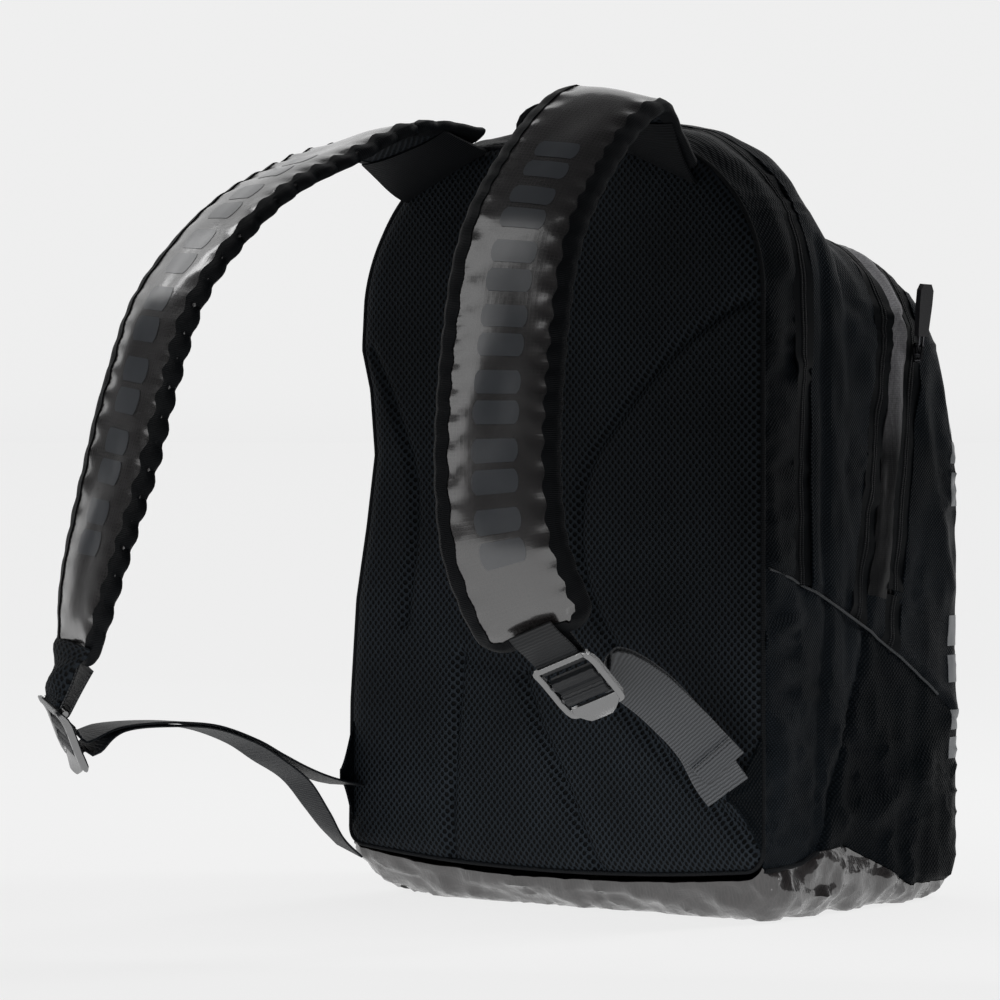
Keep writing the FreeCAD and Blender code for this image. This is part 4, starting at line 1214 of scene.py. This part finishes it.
def web(name, points, normals, thickness=1.4, step=2.0):
    """Webbing along a smooth line, its flat face square to the given outward directions."""
    data, at = catmull([(*p, *n) for p, n in zip(points, normals)], step)
    p = data[:, :3]
    t = unit(np.gradient(p, axis=0))
    n = data[:, 3:6]
    n = unit(n - t * np.sum(n * t, axis=1, keepdims=True))
    w = np.cross(n, t)
    h, k = WEB_WIDTH / 2, thickness / 2
    flat = np.linspace(2 - h, h - 2, 7)
    shape = [(-h, 0.0), (-h + 0.5, k)] + [(a, k) for a in flat] + [(h - 0.5, k), (h, 0.0), (h - 0.5, -k)]
    shape += [(a, -k) for a in flat[::-1]] + [(-h + 0.5, -k)]
    return sweep(name, p, w, n, shape, at)


def make_tab(name, place, length):
    """Webbing folded round the top bar, its ends sewn over and under the strap's end."""
    route = [(-length - 14, 7.6), (-length - 5, 7.0), (-length + 2, 5.4), (-length * 0.5, 3.9), (-1.5, 3.5)]
    route += [(3.4 * math.sin(a), 3.4 * math.cos(a)) for a in np.linspace(0.35, 2.79, 7)]
    route += [(-1.5, -3.5), (-length * 0.4, -3.6), (-length * 0.7, -3.9), (-length, -4.4)]
    pts = place([(x, 0, z) for x, z in route])
    r = np.array(route)
    tangent = unit(np.gradient(r, axis=0))
    normals = [place.x * (t[1] * -1.0) + place.z * t[0] for t in tangent]
    obj = web(name + "_tab_webbing", pts, normals)
    finish_piece(obj, DARK_AND_SHADED_WEB, "webbing", name + "_strap", name + "_strap_tab")


def lock_route(place, route):
    """Points of a route given by X and Z in the lock's frame."""
    return [tuple(v) for v in place([(x, 0, z) for x, z in route])]


def make_hem(tail, normals, where):
    """Folded end of the free tail, with a double row of stitches."""
    n = unit(np.array(normals[-1]))
    a, b = np.array(tail[-2], float), np.array(tail[-1], float)
    t = unit(b - a)
    n = unit(n - t * n.dot(t))
    w = np.cross(n, t)
    route = [b - t * 15 + n * 1.5, b - t * 7 + n * 1.6, b + t * 1.0 + n * 0.8]
    fold = web("tail_hem", route, [n] * 3, 1.5, 1.0)
    finish_piece(fold, WEB, "webbing", where)
    rows = []
    for back in (14.0, 11.2):
        for k in range(12):
            u = -13 + 26 * k / 11
            c = b - t * back + n * 2.35
            line = np.array([c + w * (u - 0.85), c + w * u + n * 0.3, c + w * (u + 0.85)])
            across, out = np.tile(t, (3, 1)), np.tile(n, (3, 1))
            rows.append(sweep("stitch", line, across, out, round_profile(0.3, 0, 6)))
    finish_piece(join("tail_stitches", rows), THREAD, "webbing", where)


def make_flange(strap, place):
    """Mesh end of the left strap, drawn in and draped over its tab down to the lock."""
    rows, columns = 14, 12
    s = strap.length - 12
    top, low = [], []
    for r in range(rows):
        k = r / (rows - 1)
        for c in range(columns + 1):
            u = 2 * c / columns - 1
            start = strap.point(s, u * strap.half(s) * 0.96, strap.cover(s, 0) + 1.2)
            end = place([(-1.0, u * 15.8, 5.4)])[0]
            bow = 3.2 * math.sin(math.pi * k) * (1 - u * u) + 1.5 * math.sin(2.2 * PI2 * k + 2.0 * u)
            at = start * (1 - smooth_step(k, 0, 1)) + end * smooth_step(k, 0, 1)
            at = at + place.z * bow - place.y * u * 6.0 * math.sin(math.pi * k)
            top.append(at)
            low.append(at - place.z * 2.0)
    uvs = [(r * 3.0, c * 3.0) for r in range(rows) for c in range(columns + 1)]
    obj = sheet(strap.name + "_strap_flange", top, low, grid_faces(rows, columns + 1), uvs)
    finish_piece(obj, STRAP_MESH, "mesh", strap.name + "_strap")


def make_root(strap):
    """Mesh skirt between a strap's sewn root and the top of the back panel."""
    side = strap.side
    outer, inner = np.array([side * 117.0, -112.0, 458.0]), np.array([side * 50.0, -112.0, 488.0])
    rows = []
    for k in range(11):
        f = k / 10.0
        s = 34.0 * (1 - f) + 2.0
        line = []
        for c in range(17):
            u = 2 * c / 16 - 1
            a = u * strap.half(s) * 0.97
            on_strap = strap.point(s, a, strap.under(s, a) - 0.6)
            on_panel = (outer + inner) / 2 + (outer - inner) / 2 * side * u
            on_panel[1] -= 4.0 * (1 - f)
            g = f ** 1.4
            line.append(on_strap * (1 - g) + on_panel * g + np.array([0, -1.5, -3.0]) * math.sin(math.pi * f))
        rows.append(line)
    grid = np.array(rows)
    n = np.cross(np.gradient(grid, axis=1), np.gradient(grid, axis=0))
    n = n / np.linalg.norm(n, axis=2, keepdims=True)
    flat, n = grid.reshape(-1, 3), n.reshape(-1, 3)
    uvs = [(r * 3.4, c * 4.5) for r in range(11) for c in range(17)]
    obj = sheet(strap.name + "_strap_root", flat + n * 0.9, flat - n * 0.9, grid_faces(11, 17), uvs)
    finish_piece(obj, GROSGRAIN, "mesh",
                 ("bag", strap.name + "_strap", (side * 84, -112, 474), tuple(strap.point(36.0, 0, 0))))


def make_wings():
    """Gathered triangles of cloth that hold the webbing at the bottom corners."""
    made = []
    for side, reach in ((-1, 17.0), (1, 31.0)):
        top, low = [], []
        for r in range(9):
            f = r / 8.0
            for c in range(11):
                v = c / 5.0 - 1
                z = 81.0 + v * (31.0 * (1 - f) ** 1.5 + 3.0)
                x = 163.4 - 3.2 * f
                y = -111.8 - reach * f
                pucker = 0.5 * math.sin(9 * v) * math.sin(math.pi * f)
                top.append((side * (x + 0.9 + pucker), y, z))
                low.append((side * (x - 0.9 + pucker), y, z))
        made.append(sheet("wing", top, low, grid_faces(9, 11)))
    finish_piece(join("corner_wing_cloth", made), HEAVY_SHADED_CLOTH, "fabric", "bag", "corner_wings")


PRINT_X, PRINT_Y = 108.0, 108.5  # the corner's print lies past both


def make_print():
    """Plain bars printed down the front corner, in place of the lettering there."""
    for name, body, heights in (("flap_print", "flap", [(258, 280), (286, 300), (306, 328)]),
                                ("fold_print", SIDE_BLEND, [(142, 160), (166, 186)]),
                                ("front_print", "bag", [(92, 106), (111, 124)])):
        bars = []
        for z0, z1 in heights:
            fields = [lambda p: p[:, 1] - PRINT_Y, lambda p: p[:, 0] - PRINT_X,
                      lambda p, z0=z0: p[:, 2] - z0, lambda p, z1=z1: z1 - p[:, 2]]
            bars.append(panel("bar", fields, 0.35, 0.5))
        finish_piece(join(name, bars), LIGHT_PRINT, "tarpaulin", body)


# Each side's lock, cloth, load webbing's route and directions, and free tail's route and directions.
RIGHT_OUT, RIGHT_TURN = (0.743, -0.518, -0.398), (0.6, -0.62, -0.5)
WEBBINGS = {
    "right": (
        RIGHT_LOCK, WEB,
        [(135.5, -230.4, 163), (142.8, -203, 149.5), (149.8, -180.5, 130), (155, -164.6, 113.5),
         (157, -151, 95), (160, -142, 84)], [RIGHT_TURN] + [RIGHT_OUT] * 5,
        [(139, -233, 160), (146, -206, 147), (154, -183, 128), (159, -166, 113), (163, -151, 100)],
        [RIGHT_TURN] + [RIGHT_OUT] * 4),
    "left": (
        LEFT_LOCK, MID_WEB,
        [(-168, -341, 122), (-168, -300, 122.5), (-167, -259, 119), (-166, -222, 108.5),
         (-165, -196, 97.5), (-163, -168, 86), (-161, -142, 78), (-161, -122, 74)], [(0, 0.1, -1)] * 8,
        [(-168, -341, 119.4), (-168, -300, 120.3), (-167, -259, 116.9), (-165.5, -222, 106.2),
         (-164.5, -196, 93.5), (-163.5, -170, 79), (-162, -151, 59), (-161, -137, 43), (-160, -120, 30)],
        [(0, 0.1, -1)] * 4 + [(0, -0.1, -1), (-0.1, -0.3, -0.9), (-0.2, -0.5, -0.7), (-0.3, -0.55, -0.6),
                              (-0.3, -0.6, -0.6)]),
}
# Where the two strands leave the lock, and the wrap round its lower bars: X and Z in its frame.
LOAD_START = [(14, -3.6), (20, -5.0), (24.5, -9.0)]
TAIL_START = [(28.4, -3.8), (30.6, -5.4), (33.4, -10.0)]
WRAP = [(12, -3.2), (9.2, -1.6), (10.2, 1.8), (14.2, 3.1), (19.6, 0.6), (25.0, 3.1), (29.0, 1.6),
        (29.8, -1.2), (28.0, -3.2)]


def make_webbings():
    """Adjuster webbing: up behind the lock, over its lower bars, and back out as the free tail."""
    for name, (place, cloth, load, load_out, tail, tail_out) in WEBBINGS.items():
        x, z = place.x, place.z
        # The wrap is the same webbing as the load and tail strands but coloured near black: painted shade in
        # the lock's slots.
        obj = web(name + "_wrap_webbing", lock_route(place, WRAP), [-z, -x, z - x, z, z, z, z + x, x, x - z],
                  step=1.0)
        finish_piece(obj, DARK_AND_SHADED_WEB, "webbing", name + "_lock", name + "_webbing_wrap")
        for kind, node, start, route, out in (("_anchor", "_load_webbing", LOAD_START, load, load_out),
                                              ("_tail", "_webbing_tail", TAIL_START, tail, tail_out)):
            first = lock_route(place, start)
            where = ("bag", name + "_strap", route[-1], first[1])
            normals = [-z, -z, -x] + [tuple(-np.array(v)) for v in out]
            obj = web(name + kind + "_webbing", first + route, normals)
            finish_piece(obj, cloth, "webbing", where, name + node)
        if name == "right":
            make_hem(tail, tail_out, where)


# ---- camera, light and floor ----
def paper(name, verts, faces, roughness, glow):
    """Glowing paper of the studio, in metres."""
    mesh = bpy.data.meshes.new(name)
    mesh.from_pydata(verts, [], faces)
    obj = bpy.data.objects.new(name, mesh)
    bpy.context.scene.collection.objects.link(obj)
    s = Shader(name + "_paper", Roughness=roughness, Emission_Color=(1, 1, 1, 1), Emission_Strength=glow,
               Specular_IOR_Level=0.0)
    mesh.materials.append(s.material)
    return obj, s


def make_studio():
    """Camera, paper floor and lamps, placed in metres."""
    target = Vector((-25.7, -130.1, 262.0)) * MM
    azimuth, distance = math.radians(38.0), 2.6
    cam_data = bpy.data.cameras.new("camera")
    cam_data.sensor_width = 36.0
    cam_data.lens = 36.0 * distance / 0.64
    cam = bpy.data.objects.new("camera", cam_data)
    cam.location = target + Vector((math.sin(azimuth), -math.cos(azimuth), 0)) * distance
    cam.rotation_euler = (target - cam.location).to_track_quat("-Z", "Y").to_euler()
    bpy.context.scene.collection.objects.link(cam)
    bpy.context.scene.camera = cam
    cam_data.clip_end = 50

    toward = Vector((-math.sin(azimuth), math.cos(azimuth), 0))
    across = Vector((math.cos(azimuth), math.sin(azimuth), 0))
    sweep_line = [(-7.0, 0.0), (0.0, 0.0), (2.6, 0.0), (3.1, 0.08), (3.45, 0.35), (3.6, 0.8), (3.6, 5.0)]
    smooth, _ = catmull([(x, z, 0) for x, z in sweep_line], 0.12)
    verts = [tuple(toward * x + across * w + Vector((0, 0, z))) for x, z, _ in smooth for w in (-6, 6)]
    floor, s = paper("floor", verts, grid_faces(len(smooth), 2), 0.9, 0.785)
    floor.data.shade_smooth()
    s.colour(s.noise(s.coords("Object", 1.0), 0.8), (0.115, 0.115, 0.115), (0.125, 0.125, 0.125))
    make_surround()

    world = bpy.data.worlds.new("world")
    world.use_nodes = True
    world.node_tree.nodes["Background"].inputs[0].default_value = (0.9, 0.95, 1.0, 1)
    world.node_tree.nodes["Background"].inputs[1].default_value = 0.03
    bpy.context.scene.world = world

    def area(name, centre, aim, size, power):
        data = bpy.data.lights.new(name, "AREA")
        data.shape = "RECTANGLE"
        data.size, data.size_y = size
        data.energy = power
        lamp = bpy.data.objects.new(name, data)
        lamp.location = centre
        lamp.rotation_euler = (Vector(aim) - Vector(centre)).to_track_quat("-Z", "Y").to_euler()
        bpy.context.scene.collection.objects.link(lamp)
        return lamp

    side = lambda right, near, up: tuple(across * right - toward * near + Vector((0, 0, up)))
    area("key_left", side(-1.6, 1.3, 1.75), side(0, 0, 0.33), (1.3, 2.5), 10.5)
    rim = area("rim_right", side(1.7, -0.45, 1.8), side(0.1, 0, 0.35), (0.5, 0.9), 21)
    top = area("top", side(-0.1, -0.9, 2.0), side(0, 0, 0.1), (1.8, 1.0), 9)
    low = area("low_front", side(-0.1, 0.47, 0.06), side(0, 0, 0.07), (0.9, 0.09), 0.5)
    low.data.spread = math.radians(70)
    for lamp in (rim, top):
        lamp.visible_glossy = False
    for name, way in (("left", -1), ("right", 1)):
        area("backdrop_" + name, side(way * 2.2, -1.2, 2.6), side(way * 0.6, -3.4, 0.6), (1.5, 1.0), 20)
    bpy.context.scene.view_settings.view_transform = "Standard"


def make_surround():
    """Pale shell far round the floor, seen directly but neither lighting nor reflected."""
    rings, columns, radius = 16, 32, 12.0
    verts = []
    for r in range(rings + 1):
        a = math.pi * r / rings
        for c in range(columns):
            b = PI2 * c / columns
            verts.append((radius * math.sin(a) * math.cos(b), radius * math.sin(a) * math.sin(b),
                          radius * math.cos(a)))
    shell, s = paper("surround", verts, grid_faces(rings + 1, columns, True), 1.0, 0.86)
    shell.data.validate()
    s.bsdf.inputs["Base Color"].default_value = (0.01, 0.01, 0.01, 1)
    for ray in ("diffuse", "glossy", "transmission", "shadow", "volume_scatter"):
        setattr(shell, "visible_" + ray, False)


def dress_nodes():
    """Materials for the CAD nodes that stay as they are."""
    for names, material in (
        (("base_board",), SHEET), (("main_divider", "front_divider"), LINING),
        (("main_left_slider", "main_right_slider", "mid_slider", "front_slider", "front_pull_loop"), METAL),
        (("main_left_pull", "main_right_pull", "mid_pull", "front_pull_grip"), GRIP),
        (("haul_handle",), GROSGRAIN),
    ):
        for n in names:
            for holder in NODES[n].material_slots:
                holder.material = material
            if not NODES[n].material_slots:
                NODES[n].data.materials.append(material)


make_studio()
make_panels()
make_zips()
make_pipings()
make_back_panel()
for one in (RIGHT, LEFT):
    make_strap(one)
make_marks(RIGHT, 122, 40.5, 7, 32, 28)
make_marks(LEFT, 118, 45, 7, 35, 25)
for one in WEBBINGS:
    make_lock(one, WEBBINGS[one][0])
make_tab("right", RIGHT_LOCK, 20.0)
make_tab("left", LEFT_TAB, 31.0)
make_webbings()
make_flange(LEFT, LEFT_TAB)
for one in (RIGHT, LEFT):
    make_root(one)
make_wings()
make_print()
dress_nodes()
